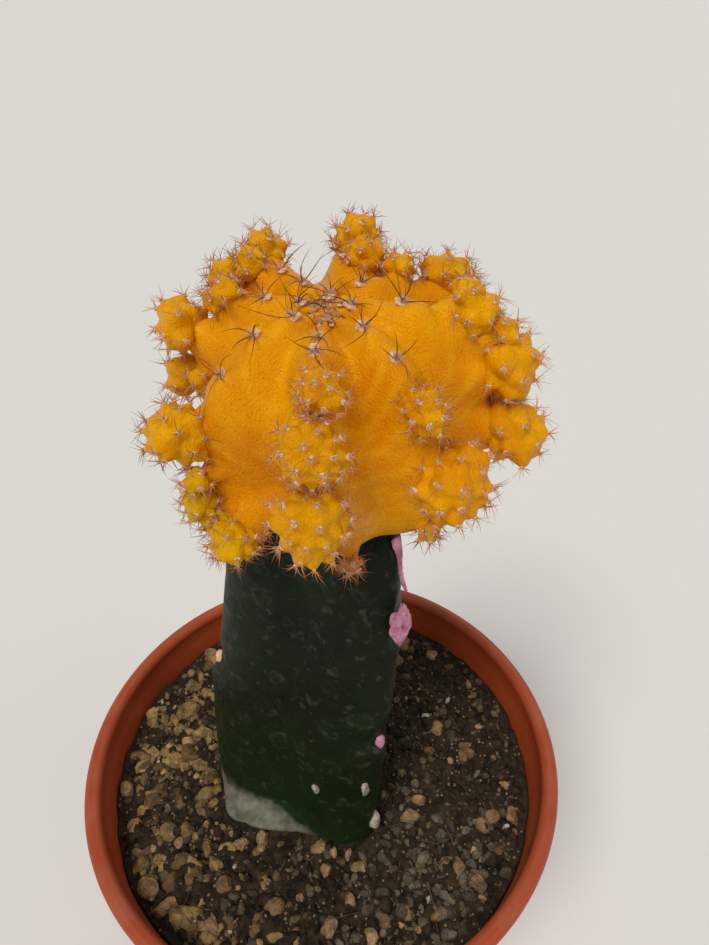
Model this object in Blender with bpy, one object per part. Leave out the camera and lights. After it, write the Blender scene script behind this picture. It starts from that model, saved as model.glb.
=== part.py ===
"""Potted moon cactus.

A yellow ribbed globe with many offsets, grafted on a three-angled green
rootstock that stands in a round plastic pot of gravelly soil.

Metres, +Z up. The origin is the centre of the pot's foot, on the surface that
the pot stands on, and -Y is the plant's front.
"""

import math

import bmesh
import bpy
import numpy as np
from mathutils import Vector

MM = 0.001
GAP = 0.3 * MM             # room between pieces that touch
CURVED_GAP = 1.6 * GAP     # and under small pieces that lie on a curved skin
SEED = 7

# Pot
POT_HEIGHT = 76 * MM
RIM_RADIUS = 45 * MM
LIP_WIDTH = 3 * MM         # seen from above
COLLAR_HEIGHT = 9.5 * MM
FOOT_RADIUS = 32.5 * MM
WALL = 1.2 * MM
BASE = 1.5 * MM            # thickness of the pot's bottom
GROOVE = (22 * MM, 29 * MM)   # drain groove under the bottom, inner and outer radius
GROOVE_SLANT = 0.5 * MM    # how far the groove's sides lean
FOOT_ROUNDING = 0.9 * MM
COLLAR_SETBACK = 1.4 * MM  # from the rim's edge to the collar's lower edge
POT_SEGMENTS = 48
DRAIN_HOLES = 8
DRAIN_RADIUS = 2 * MM

# Soil
SOIL_TOP = POT_HEIGHT - 8.4 * MM
SOIL_SEGMENTS = 36
SOIL_RINGS = 9
SOIL_SWELL = 0.7 * MM      # how uneven the soil's top is
SOIL_CORNER = 4.6 * MM     # height at which the soil meets the pot's wall
SEAT_ROOM = {"rootstock": 1.2 * GAP, "grain": 1.5 * GAP}
GRAINS = (                 # x, y and radius in mm of the larger stones
    (36.5, -10.5, 2.6), (35.5, -4.5, 1.8), (16.5, -11.0, 2.2), (23.0, -20.0, 2.2), (7.0, -20.0, 1.8),
    (-0.6, -16.8, 1.6), (-15.0, -16.0, 1.8), (-19.0, -29.5, 3.0), (-26.5, -26.5, 2.3),
    (-34.5, -13.0, 2.6), (-36.0, 0.0, 2.8))
GRAIN_POINTS = 14
GRAIN_SINK = 0.15          # depth of a grain's middle under the soil's top, as a share of its radius

# Rootstock
STOCK_TOP = POT_HEIGHT + 63.2 * MM
STOCK_Y = -1.1 * MM
STOCK_RIBS = (-179, -49, 63)          # azimuths in degrees: left, right, back
STOCK_SHARPNESS = 0.65
FACE_SHARE = 0.57          # distance of a face from the middle, as a share of a rib's
STOCK_STATIONS = (         # height, middle x and rib radius in mm, from the foot up
    (24, -1.2, 6.0), (30, -1.9, 11.0), (42, -2.6, 15.8), (56, -2.8, 17.8), (70, -2.7, 18.0),
    (90, -1.7, 17.9), (106, 0.1, 16.9), (122, 1.8, 15.8), (134, 2.1, 14.6),
    (137.6, 2.1, 13.9), (139.2, 2.1, 12.2))
STOCK_SECTIONS = 25
STOCK_POINTS = 30
ROOTS = 5
ROOT_LENGTH = 17 * MM
ROOT_JOINTS = 3
ROOT_TAPER = 0.62          # width of each length of a root, as a share of the one before
ROOT_DROP = 0.25           # how far a root falls for each unit outward

# Scion
SCION_CENTRE = Vector((4.0 * MM, -1.5 * MM, POT_HEIGHT + 76.6 * MM))
LEAN_FRONT = 9             # degrees that the crown leans to the front
LEAN_LEFT = 5
SCION_RADIUS = 17.9 * MM
CROWN_HEIGHT = 16.6 * MM
BELLY_HEIGHT = 15.0 * MM
SQUARENESS = 2.25          # above the middle; 2 is an ellipsoid, more is squarer
BELLY_SQUARENESS = 3.1     # below the middle
RIB_DEPTH = 0.15
RIB_SHARPNESS = 1.4
FURROW_FADE = (95, 130)    # degrees down between which the furrows grow shallow
DIMPLE_DEPTH = 3.4 * MM    # the sunken growing point
DIMPLE_ANGLE = 24
SCION_RINGS = 17
SCION_SEGMENTS = 56
SCION_BASE = STOCK_TOP + GAP
RIB_NAMES = ("front", "front_right", "right", "back_right", "back", "back_left", "left", "front_left")
RIB_AZIMUTHS = (-94, -52, -10, 33, 77, 124, 171, 216)

# Offsets, by rib and from the crown down: degrees aside of the rib, degrees
# down from the crown, radius and distance above the skin in mm.
PUPS = (
    ((2, 47, 2.6, 1.4), (0, 64, 3.9, 2.1), (-3, 88, 4.4, 2.4), (6, 122, 1.3, 1.8)),
    ((0, 61, 2.6, 1.4), (2, 89, 4.6, 2.5), (-2, 117, 1.5, 1.0)),
    ((7, 54, 2.7, 4.0), (3, 73, 3.9, 3.6), (-3, 95, 4.1, 3.9)),
    ((7, 38, 2.1, 1.2), (-3, 54, 3.2, 2.9), (0, 82, 3.6, 2.4), (2, 106, 2.5, 1.6)),
    ((-4, 40, 3.2, 3.3), (1, 64, 3.3, 2.0), (-2, 90, 4.0, 2.6)),
    ((-1, 46, 3.1, 3.4), (15, 52, 3.2, 4.4), (0, 80, 3.8, 2.5), (3, 106, 2.7, 1.7)),
    ((-5, 43, 1.9, 2.2), (2, 57, 3.0, 4.4), (4, 74, 2.7, 1.0)),
    ((-7, 75, 3.9, 3.4), (-1, 101, 2.8, 2.8), (13, 109, 2.9, 3.8)))
SMALL_PUP = 2.3 * MM       # a pup under this radius gets the coarser mesh
PUP_GRID = (14, 9)
SMALL_PUP_GRID = (10, 7)
NECK_SHARE = 0.55          # radius of a pup's neck, as a share of its own
SKIN_ROOM = 1.4 * GAP      # a pup's neck stops this far from the scion's skin
LEAST_REACH = 0.12 * MM
NEAR_PUP = 1.45            # pups share a wall within this many times their two radii
WALL_ROOM = 0.6 * GAP      # from a shared wall to each of its pups
TUBERCLES = 8
TUBERCLE_RISE = 0.12       # height of a tubercle, as a share of the pup's radius
TUBERCLE_ANGLE = 24

# Areoles of the scion, by rib: degrees down from the crown.
AREOLES = ((24, 33), (25, 42), (12, 30), (18,), (8, 31), (16, 34), (11, 24), (16, 32, 49))
AREOLE_RADIUS = 0.95 * MM
WOOL_FLATTENING = 0.45
SPINES = 5
SPINE_LENGTH = 3.2 * MM
SPINE_RISE = 42            # degrees that a spine rises from the skin

# Corky and dried skin on the rootstock's right rib
SCAB_HEIGHT = POT_HEIGHT + 48 * MM
SCAB_SIZE = (0.8 * MM, 1.5 * MM, 3.6 * MM)   # half sizes: outward, along the face, up
PEEL_TOP = POT_HEIGHT + 62.6 * MM
PEEL_LENGTH = 7 * MM
PEEL_WIDTH = 2.2 * MM
PEEL_THICKNESS = 0.5 * MM
PEEL_TAPER = 0.7           # share of its width that the strip loses on its way down
PEEL_CURL = 1.2 * MM       # how far its tip stands off the skin
PEEL_STEPS = 6

COLOURS = {                # base colour, roughness
    "pot_plastic": ((0.45, 0.12, 0.055), 0.45),
    "soil": ((0.035, 0.024, 0.016), 0.95),
    "grain": ((0.36, 0.27, 0.14), 0.85),
    "stock_skin": ((0.018, 0.045, 0.018), 0.38),
    "scion_skin": ((0.80, 0.38, 0.01), 0.35),
    "pup_skin": ((0.78, 0.42, 0.01), 0.35),
    "areole_wool": ((0.68, 0.48, 0.38), 0.9),
    "scab": ((0.42, 0.13, 0.22), 0.8)}


# Objects and materials

def clear_scene():
    """Remove every object of the open file."""
    for thing in list(bpy.data.objects):
        bpy.data.objects.remove(thing, do_unlink=True)


def material(slot):
    """Return the Principled material of a slot, made on first use."""
    found = bpy.data.materials.get(slot)
    if found:
        return found
    colour, roughness = COLOURS[slot]
    made = bpy.data.materials.new(slot)
    made.use_nodes = True
    shader = made.node_tree.nodes["Principled BSDF"]
    shader.inputs["Base Color"].default_value = (*colour, 1)
    shader.inputs["Roughness"].default_value = roughness
    return made


def add_object(name, mesh, slot, smooth_angle=40):
    """Put a mesh in the scene, smooth-shaded up to an edge angle."""
    mesh.materials.append(material(slot))
    mesh.shade_smooth()
    mesh.set_sharp_from_angle(angle=math.radians(smooth_angle))
    thing = bpy.data.objects.new(name, mesh)
    bpy.context.scene.collection.objects.link(thing)
    return thing


def mesh_from_bmesh(name, bm):
    """Turn a bmesh into a mesh."""
    mesh = bpy.data.meshes.new(name)
    bm.to_mesh(mesh)
    bm.free()
    return mesh


def as_cutter(thing):
    """Keep an object out of the model and use it for a Boolean only."""
    thing.hide_render = True
    thing.display_type = "WIRE"
    return thing


def cut(thing, cutter):
    """Take a cutter's shape out of an object."""
    boolean = thing.modifiers.new("cut", "BOOLEAN")
    boolean.operation = "DIFFERENCE"
    boolean.solver = "EXACT"
    boolean.object = cutter


def skin_rings(name, rings, start_point=None, end_point=None):
    """Loft a closed body through equal rings of points, with flat or pointed ends."""
    bm = bmesh.new()
    loops = [[bm.verts.new(point) for point in ring] for ring in rings]
    count = len(loops[0])
    for lower, upper in zip(loops, loops[1:]):
        for i in range(count):
            j = (i + 1) % count
            bm.faces.new((lower[i], lower[j], upper[j], upper[i]))
    for loop, point in ((loops[0], start_point), (loops[-1], end_point)):
        if point is None:
            bm.faces.new(loop)
            continue
        tip = bm.verts.new(point)
        for i in range(count):
            bm.faces.new((loop[i], loop[(i + 1) % count], tip))
    bmesh.ops.recalc_face_normals(bm, faces=bm.faces)
    return mesh_from_bmesh(name, bm)


def circle(radius, height, count):
    """Points of a level circle about the Z axis."""
    turns = [2 * math.pi * i / count for i in range(count)]
    return [(radius * math.cos(turn), radius * math.sin(turn), height) for turn in turns]


# Pot

def inner_radius(height):
    """Radius of the pot's inner wall at a height."""
    share = (height - BASE) / (POT_HEIGHT - BASE)
    low = FOOT_RADIUS - WALL
    return low + (RIM_RADIUS - LIP_WIDTH - low) * share


def pot_profile():
    """Half section of the pot from the middle of its foot, round the lip, to the inner bottom."""
    groove_in, groove_out = GROOVE
    collar_low = POT_HEIGHT - COLLAR_HEIGHT
    outside = [(groove_in - GROOVE_SLANT, 0), (groove_in, BASE), (groove_out, BASE),
               (groove_out + GROOVE_SLANT, 0), (FOOT_RADIUS - FOOT_ROUNDING, 0),
               (FOOT_RADIUS, FOOT_ROUNDING), (inner_radius(collar_low) + WALL, collar_low),
               (RIM_RADIUS - COLLAR_SETBACK, collar_low + GROOVE_SLANT)]
    lip_turn = LIP_WIDTH / 2
    lip_middle = (RIM_RADIUS - lip_turn, POT_HEIGHT - lip_turn)
    lip = []
    for step in range(5):
        angle = math.radians(45 * step)
        lip.append((lip_middle[0] + lip_turn * math.cos(angle), lip_middle[1] + lip_turn * math.sin(angle)))
    below_lip = POT_HEIGHT - 5 * MM
    corner = 2.5 * BASE
    inside = [(inner_radius(below_lip), below_lip), (inner_radius(corner), corner),
              (inner_radius(BASE) - BASE, BASE), (groove_out + WALL, BASE), (groove_out, 2 * BASE),
              (groove_in, 2 * BASE), (groove_in - WALL, BASE)]
    return outside + lip + inside


def make_pot():
    """Turn the pot and drill its drain holes through the groove."""
    rings = [circle(radius, height, POT_SEGMENTS) for radius, height in pot_profile()]
    pot = add_object("pot", skin_rings("pot", rings, (0, 0, 0), (0, 0, BASE)), "pot_plastic")
    bm = bmesh.new()
    ring_radius = sum(GROOVE) / 2
    for i in range(DRAIN_HOLES):
        turn = 2 * math.pi * (i + 0.5) / DRAIN_HOLES
        made = bmesh.ops.create_cone(bm, cap_ends=True, segments=12, radius1=DRAIN_RADIUS,
                                     radius2=DRAIN_RADIUS, depth=6 * BASE)
        place = Vector((ring_radius * math.cos(turn), ring_radius * math.sin(turn), BASE))
        bmesh.ops.translate(bm, verts=made["verts"], vec=place)
    drills = add_object("drain_hole_drills", mesh_from_bmesh("drain_hole_drills", bm), "pot_plastic")
    cut(pot, as_cutter(drills))


# Soil

def soil_height(x, y):
    """Height of the soil's top: level, with gentle heaps and a rise round the stem."""
    along = x / (9 * MM)
    across = y / (8 * MM)
    heaps = math.sin(along + 0.6) * math.cos(across - 0.4) + 0.5 * math.sin(0.7 * along - across)
    rise = math.exp(-(x * x + y * y) / (24 * MM) ** 2)
    return SOIL_TOP + SOIL_SWELL * (0.6 * heaps + 0.8 * rise)


def press_into(soil, thing, room):
    """Cut a seat for an object into the soil, larger than the object by some room."""
    seat = bpy.data.objects.new(f"seat_of_{thing.name}", thing.data)
    bpy.context.scene.collection.objects.link(seat)
    swell = seat.modifiers.new("swell", "DISPLACE")
    swell.strength = room
    swell.mid_level = 0
    cut(soil, as_cutter(seat))


def make_soil(stock, grains):
    """Fill the pot with a soil plug that has seats for the rootstock and the grains."""
    groove_in, groove_out = GROOVE
    low = BASE + GAP
    profile = [(groove_in - WALL - GAP, low), (groove_in - 1.5 * GAP, low + BASE),
               (groove_out + 1.5 * GAP, low + BASE), (groove_out + WALL + GAP, low),
               (inner_radius(BASE) - BASE - 2 * GAP, low), (inner_radius(SOIL_CORNER) - 2 * GAP, SOIL_CORNER)]
    rings = [circle(radius, height, SOIL_SEGMENTS) for radius, height in profile]
    edge = inner_radius(SOIL_TOP) - 2 * GAP
    for step in range(SOIL_RINGS):
        ring = circle(edge * (1 - step / SOIL_RINGS), 0, SOIL_SEGMENTS)
        rings.append([(x, y, soil_height(x, y)) for x, y, _ in ring])
    mesh = skin_rings("soil", rings, (0, 0, low), (0, 0, soil_height(0, 0)))
    soil = add_object("soil", mesh, "soil")
    press_into(soil, stock, SEAT_ROOM["rootstock"])
    for grain in grains:
        press_into(soil, grain, SEAT_ROOM["grain"])


def make_grains(chance):
    """The larger stones, half sunk in the soil between the stem and the pot's wall."""
    grains = []
    for number, row in enumerate(GRAINS):
        x, y, radius = (value * MM for value in row)
        points = chance.normal(size=(GRAIN_POINTS, 3))
        points /= np.linalg.norm(points, axis=1, keepdims=True)
        points *= radius * np.array((1, chance.uniform(0.7, 0.95), chance.uniform(0.6, 0.8)))
        points += np.array((x, y, soil_height(x, y) - GRAIN_SINK * radius))
        bm = bmesh.new()
        for point in points:
            bm.verts.new(point)
        hull = bmesh.ops.convex_hull(bm, input=bm.verts)
        bmesh.ops.delete(bm, geom=hull["geom_interior"], context="VERTS")
        bmesh.ops.recalc_face_normals(bm, faces=bm.faces)
        name = f"grain_{number + 1:02d}"
        grains.append(add_object(name, mesh_from_bmesh(name, bm), "grain", 25))
    return grains


# Rootstock

def rib_wave(azimuth, ribs):
    """0 on a rib's crest and 1 midway between two ribs, for azimuths in degrees."""
    crests = np.sort(np.array(ribs, dtype=float) % 360)
    crests = np.append(crests, crests[0] + 360)
    turned = (np.asarray(azimuth, dtype=float) - crests[0]) % 360 + crests[0]
    phase = np.interp(turned, crests, np.arange(len(crests)))
    return (1 - np.cos(2 * math.pi * phase)) / 2


def stock_station(height):
    """Middle x and rib radius of the rootstock at a height."""
    heights, middles, radii = (np.array(column) * MM for column in zip(*STOCK_STATIONS))
    return float(np.interp(height, heights, middles)), float(np.interp(height, heights, radii))


def stock_point(azimuth, height, outward=0.0):
    """Point of the rootstock's skin at an azimuth in degrees and a height, or outside it."""
    middle, rib_radius = stock_station(height)
    hollow = float(rib_wave(azimuth, STOCK_RIBS)) ** STOCK_SHARPNESS
    radius = rib_radius * (1 - (1 - FACE_SHARE) * hollow) + outward
    turn = math.radians(azimuth)
    return Vector((middle + radius * math.cos(turn), STOCK_Y + radius * math.sin(turn), height))


def grow_roots(bm, foot_height):
    """Draw roots out of the foot's side faces, each in a few tapering lengths."""
    sides = [face for face in bm.faces
             if abs(face.normal.z) < 0.9 and face.calc_center_median().z < foot_height]
    sides.sort(key=lambda face: math.atan2(face.calc_center_median().y, face.calc_center_median().x))
    for number in range(ROOTS):
        face = sides[int((number + 0.5) * len(sides) / ROOTS)]
        outward = Vector((face.normal.x, face.normal.y, -ROOT_DROP)).normalized()
        for _ in range(ROOT_JOINTS):
            face = bmesh.ops.extrude_discrete_faces(bm, faces=[face])["faces"][0]
            middle = face.calc_center_median()
            for corner in face.verts:
                corner.co = middle + (corner.co - middle) * ROOT_TAPER + outward * ROOT_LENGTH / ROOT_JOINTS


def make_rootstock():
    """Loft the three-angled stem, with its buried foot and main roots."""
    foot = STOCK_STATIONS[0][0] * MM
    shoulder = STOCK_STATIONS[-2][0] * MM
    heights = [*np.linspace(foot, shoulder, STOCK_SECTIONS), STOCK_TOP]
    rings = []
    for height in heights:
        azimuths = [360 * i / STOCK_POINTS for i in range(STOCK_POINTS)]
        rings.append([stock_point(azimuth, height) for azimuth in azimuths])
    bm = bmesh.new()
    bm.from_mesh(skin_rings("rootstock_stem", rings))
    grow_roots(bm, foot + 6 * MM)
    return add_object("rootstock", mesh_from_bmesh("rootstock", bm), "stock_skin", 50)


def make_rib_scab():
    """A corky scab on the crest of the right rib."""
    outward, along, up = SCAB_SIZE
    azimuth = STOCK_RIBS[1]
    bm = bmesh.new()
    bmesh.ops.create_icosphere(bm, subdivisions=2, radius=1)
    bmesh.ops.scale(bm, verts=bm.verts, vec=(outward, along, up))
    turn = math.radians(azimuth)
    for vertex in bm.verts:
        x, y, z = vertex.co
        vertex.co = (x * math.cos(turn) - y * math.sin(turn), x * math.sin(turn) + y * math.cos(turn), z)
    place = stock_point(azimuth, SCAB_HEIGHT, outward + CURVED_GAP)
    bmesh.ops.translate(bm, verts=bm.verts, vec=place)
    add_object("rib_scab", mesh_from_bmesh("rib_scab", bm), "scab")


def make_graft_peel():
    """A dried strip of skin that hangs from the union along the right rib."""
    rings = []
    for step in range(PEEL_STEPS + 1):
        share = step / PEEL_STEPS
        height = PEEL_TOP - PEEL_LENGTH * share
        half_width = PEEL_WIDTH / 2 * (1 - PEEL_TAPER * share)
        near = CURVED_GAP + PEEL_CURL * share * share
        ring = []
        for side, outward in ((-1, near), (1, near), (1, near + PEEL_THICKNESS), (-1, near + PEEL_THICKNESS)):
            crest = stock_point(STOCK_RIBS[1], height, outward)
            turn = math.radians(STOCK_RIBS[1] + 90)
            ring.append(crest + Vector((math.cos(turn), math.sin(turn), 0)) * side * half_width)
        rings.append(ring)
    add_object("graft_peel", skin_rings("graft_peel", rings), "scab")


# Scion

def scion_axes():
    """The scion's own axes as rows: two across and its growing direction last."""
    across = -math.sin(math.radians(LEAN_LEFT))
    front = -math.sin(math.radians(LEAN_FRONT))
    up = np.array((across, front, math.sqrt(1 - across * across - front * front)))
    second = np.cross(up, (1.0, 0.0, 0.0))
    second /= np.linalg.norm(second)
    return np.array((np.cross(second, up), second, up))


AXES = scion_axes()


def own_direction(azimuth, down):
    """Unit direction in the scion's own axes, from an azimuth and degrees down from the crown."""
    turn = math.radians(azimuth)
    fall = math.radians(down)
    return np.array((math.sin(fall) * math.cos(turn), math.sin(fall) * math.sin(turn), math.cos(fall)))


def scion_reach(directions):
    """Distance from the scion's centre to its skin, along unit directions in its own axes."""
    upward = directions[..., 2]
    level = np.sqrt(np.maximum(0, 1 - upward * upward))
    height = np.where(upward > 0, CROWN_HEIGHT, BELLY_HEIGHT)
    power = np.where(upward > 0, SQUARENESS, BELLY_SQUARENESS)
    reach = (level / SCION_RADIUS) ** power + (np.abs(upward) / height) ** power
    reach = reach ** (-1 / power)
    azimuth = np.degrees(np.arctan2(directions[..., 1], directions[..., 0]))
    furrow = rib_wave(azimuth, RIB_AZIMUTHS) ** RIB_SHARPNESS
    down = np.degrees(np.arccos(np.clip(upward, -1, 1)))
    dimple = DIMPLE_DEPTH * np.exp(-(down / DIMPLE_ANGLE) ** 2)
    depth = RIB_DEPTH * np.interp(down, FURROW_FADE, (1.0, 0.3)) * level ** 0.8
    return reach * (1 - depth * furrow) - dimple


def skin_clearance(points):
    """Height of world points above the scion's skin, measured from its centre."""
    own = (points - np.array(SCION_CENTRE)) @ AXES.T
    distance = np.linalg.norm(own, axis=-1)
    return distance - scion_reach(own / distance[..., None])


def above_skin(azimuth, down, height):
    """World point at a height above the scion's skin."""
    direction = own_direction(azimuth, down)
    return np.array(SCION_CENTRE) + (scion_reach(direction) + height) * direction @ AXES


def make_scion():
    """The ribbed globe, cut flat where it is grafted."""
    centre = np.array(SCION_CENTRE)
    rings = []
    for ring_number in range(1, SCION_RINGS):
        down = 180 * ring_number / SCION_RINGS
        ring = []
        for i in range(SCION_SEGMENTS):
            direction = own_direction(RIB_AZIMUTHS[0] + 360 * i / SCION_SEGMENTS, down)
            offset = scion_reach(direction) * direction @ AXES
            drop = SCION_BASE - centre[2]
            if offset[2] < drop:
                offset *= drop / offset[2]
            ring.append(centre + offset)
        rings.append(ring)
    top = above_skin(0, 0, 0)
    below = -AXES[2]
    bottom = centre + below * (SCION_BASE - centre[2]) / below[2]
    add_object("scion", skin_rings("scion", rings, top, bottom), "scion_skin", 60)


# Offsets and areoles

def room_to_skin(centre, directions, wanted):
    """Shorten lengths along directions from a point outside the scion so that they stop clear of it."""
    steps = np.linspace(0, 1, 41)[1:]
    reach = wanted.copy()
    for i, direction in enumerate(directions):
        points = centre + direction * (steps * wanted[i])[:, None]
        blocked = np.nonzero(skin_clearance(points) < SKIN_ROOM)[0]
        if len(blocked):
            reach[i] = wanted[i] * (steps[blocked[0]] - steps[0])
    return np.maximum(reach, LEAST_REACH)


def tubercle_directions(chance, count):
    """Directions spread evenly over a globe by the golden angle, with a random turn."""
    start = chance.uniform(0, 2 * math.pi)
    heights = 1 - 2 * (np.arange(count) + 0.5) / count
    turns = start + np.arange(count) * math.pi * (3 - math.sqrt(5))
    level = np.sqrt(1 - heights * heights)
    return np.stack((level * np.cos(turns), level * np.sin(turns), heights), axis=-1)


def pup_reach(directions, radius, inward, tubercles):
    """Distance from a pup's centre to its skin: a knobbly globe with a neck towards the scion."""
    rise = np.zeros(len(directions))
    for tubercle in tubercles:
        apart = np.degrees(np.arccos(np.clip(directions @ tubercle, -1, 1)))
        rise = np.maximum(rise, np.exp(-(apart / TUBERCLE_ANGLE) ** 2))
    globe = radius * (1 - TUBERCLE_RISE + 2 * TUBERCLE_RISE * rise)
    along = directions @ inward
    aside = np.sqrt(np.maximum(1e-6, 1 - along * along))
    neck = np.where(along > 0, NECK_SHARE * radius / aside, 0)
    return np.maximum(globe, np.minimum(neck, 3 * radius))


def ball_directions(columns, rows):
    """Directions of a globe's rings, without the two poles."""
    rings = []
    for row in range(1, rows):
        fall = math.pi * row / rows
        turns = 2 * math.pi * np.arange(columns) / columns
        ring = np.stack((math.sin(fall) * np.cos(turns), math.sin(fall) * np.sin(turns),
                         np.full(columns, math.cos(fall))), axis=-1)
        rings.append(ring)
    return rings


def shared_walls(index, pups):
    """Planes halfway to the neighbours of a pup, as a normal and a distance from its centre."""
    centre, radius = pups[index][1], pups[index][2]
    walls = []
    for other, (_, other_centre, other_radius) in enumerate(pups):
        apart = float(np.linalg.norm(other_centre - centre))
        if other == index or apart > NEAR_PUP * (radius + other_radius):
            continue
        distance = (apart * apart + radius * radius - other_radius * other_radius) / (2 * apart)
        walls.append(((other_centre - centre) / apart, distance - WALL_ROOM))
    return walls


def make_pup(index, pups, chance):
    """Grow one pup from the skin, clear of the scion and of its neighbours."""
    name, centre, radius = pups[index]
    inward = np.array(SCION_CENTRE) - centre
    inward /= np.linalg.norm(inward)
    tubercles = tubercle_directions(chance, TUBERCLES)
    columns, rows = PUP_GRID if radius > SMALL_PUP else SMALL_PUP_GRID
    walls = shared_walls(index, pups)

    def skin_points(directions):
        reach = pup_reach(directions, radius, inward, tubercles)
        for normal, distance in walls:
            facing = directions @ normal
            limit = distance / np.maximum(facing, 1e-6)
            reach = np.where(facing > 0, np.minimum(reach, limit), reach)
        reach = room_to_skin(centre, directions, reach)
        return centre + directions * reach[:, None]

    rings = [skin_points(ring) for ring in ball_directions(columns, rows)]
    top, bottom = skin_points(np.array(((0.0, 0.0, 1.0), (0.0, 0.0, -1.0))))
    add_object(name, skin_rings(name, rings, top, bottom), "pup_skin", 60)


def plan_pups():
    """Name, centre and radius of every pup."""
    pups = []
    for rib, row in enumerate(PUPS):
        for number, (aside, down, radius, height) in enumerate(row):
            centre = above_skin(RIB_AZIMUTHS[rib] + aside, down, height * MM)
            pups.append((f"pup_{RIB_NAMES[rib]}_{number + 1}", centre, radius * MM))
    return pups


def spine_is_clear(root, tip, pups):
    """Whether a spine keeps clear of the scion's skin and of the pups."""
    points = root + (tip - root) * np.linspace(0.4, 1, 7)[:, None]
    if skin_clearance(points).min() < 2 * GAP:
        return False
    for _, centre, radius in pups:
        if np.linalg.norm(points - centre, axis=1).min() < radius * (1 + 2 * TUBERCLE_RISE) + GAP:
            return False
    return True


def make_areole(name, azimuth, down, pups, chance):
    """A wool cushion just above the skin, with straight spines drawn out of its faces."""
    direction = own_direction(azimuth, down) @ AXES
    centre = above_skin(azimuth, down, (1 - WOOL_FLATTENING) * AREOLE_RADIUS + CURVED_GAP)
    bm = bmesh.new()
    bmesh.ops.create_icosphere(bm, subdivisions=2, radius=1)
    for vertex in bm.verts:
        outward = np.array(vertex.co)
        along = float(outward @ direction)
        outward -= WOOL_FLATTENING * along * direction
        vertex.co = centre + outward * AREOLE_RADIUS
    bm.normal_update()
    side = np.cross(direction, (0.0, 0.0, 1.0))
    side /= np.linalg.norm(side)
    other_side = np.cross(direction, side)
    start = chance.uniform(0, 2 * math.pi)
    free_faces = list(bm.faces)
    for number in range(SPINES):
        turn = start + 2 * math.pi * number / SPINES
        flat = side * math.cos(turn) + other_side * math.sin(turn)
        rise = math.radians(SPINE_RISE)
        spine = flat * math.cos(rise) + direction * math.sin(rise)
        tip = centre + spine * (AREOLE_RADIUS + SPINE_LENGTH * chance.uniform(0.7, 1.1))
        if not spine_is_clear(centre, tip, pups):
            continue
        face = max(free_faces, key=lambda face: float(np.array(face.normal) @ spine))
        free_faces.remove(face)
        bmesh.ops.poke(bm, faces=[face])["verts"][0].co = tip
    add_object(name, mesh_from_bmesh(name, bm), "areole_wool")


def make_head(chance):
    """The scion with its pups and areoles."""
    make_scion()
    pups = plan_pups()
    for index in range(len(pups)):
        make_pup(index, pups, chance)
    for rib, row in enumerate(AREOLES):
        for number, down in enumerate(row):
            name = f"areole_{RIB_NAMES[rib]}_{number + 1}"
            make_areole(name, RIB_AZIMUTHS[rib], down, pups, chance)


def main():
    """Build the whole plant in its pot."""
    clear_scene()
    chance = np.random.default_rng(SEED)
    make_pot()
    make_soil(make_rootstock(), make_grains(chance))
    make_rib_scab()
    make_graft_peel()
    make_head(chance)


main()
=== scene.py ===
"""The looks of a potted moon cactus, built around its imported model.

Everything is in metres in the model's own frame: +Z up, and -Y is the plant's
front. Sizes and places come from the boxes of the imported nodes.
"""

import functools
import math

import bmesh
import bpy
import numpy as np
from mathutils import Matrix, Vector


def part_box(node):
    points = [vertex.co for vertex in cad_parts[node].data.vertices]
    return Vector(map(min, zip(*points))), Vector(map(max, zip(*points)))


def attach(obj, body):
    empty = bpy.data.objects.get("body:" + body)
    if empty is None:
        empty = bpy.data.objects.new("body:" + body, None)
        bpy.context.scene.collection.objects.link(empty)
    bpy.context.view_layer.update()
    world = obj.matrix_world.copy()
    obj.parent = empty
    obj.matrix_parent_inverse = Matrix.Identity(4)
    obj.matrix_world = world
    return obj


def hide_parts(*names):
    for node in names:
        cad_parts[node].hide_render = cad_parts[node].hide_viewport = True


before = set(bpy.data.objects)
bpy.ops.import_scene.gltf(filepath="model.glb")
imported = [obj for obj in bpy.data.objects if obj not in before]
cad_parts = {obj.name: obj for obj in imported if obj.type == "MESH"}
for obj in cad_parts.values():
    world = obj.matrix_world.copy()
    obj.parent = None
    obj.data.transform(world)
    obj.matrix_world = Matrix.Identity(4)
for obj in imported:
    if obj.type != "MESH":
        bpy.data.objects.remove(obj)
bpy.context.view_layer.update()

MM = 0.001
SEED = 11
GOLDEN_ANGLE = math.pi * (3 - math.sqrt(5))
LARGEST_SEED = 10 ** 6
UP = np.array((0.0, 0.0, 1.0))


# ---- frame sizes

def middle(node):
    """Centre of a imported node's box, as an array."""
    low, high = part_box(node)
    return (np.array(low) + np.array(high)) / 2


def extent(node):
    """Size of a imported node's box, as an array."""
    low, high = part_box(node)
    return np.array(high) - np.array(low)


def typical_point(node):
    """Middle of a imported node's vertices, which few long spines don't shift."""
    return np.median([vertex.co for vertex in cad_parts[node].data.vertices], axis=0)


def nodes_named(start):
    """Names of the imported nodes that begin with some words, in order."""
    return sorted(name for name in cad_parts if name.startswith(start))


RIM_RADIUS = extent("pot")[0] / 2
POT_HEIGHT = extent("pot")[2]
SOIL_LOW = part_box("soil")[0].z
SOIL_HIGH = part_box("soil")[1].z
STOCK_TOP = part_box("rootstock")[1].z
SCION_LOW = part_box("scion")[0].z


# ---- small geometry

def unit(vectors):
    """Vectors scaled to length 1."""
    vectors = np.asarray(vectors, dtype=float)
    return vectors / np.linalg.norm(vectors, axis=-1, keepdims=True)


def triples(x, y, z):
    """Points from their coordinates, each a number or an array."""
    return np.stack(np.broadcast_arrays(x, y, z), axis=-1)


def circle(count):
    """Angles of equal steps round a circle."""
    return 2 * math.pi * np.arange(count) / count


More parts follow.
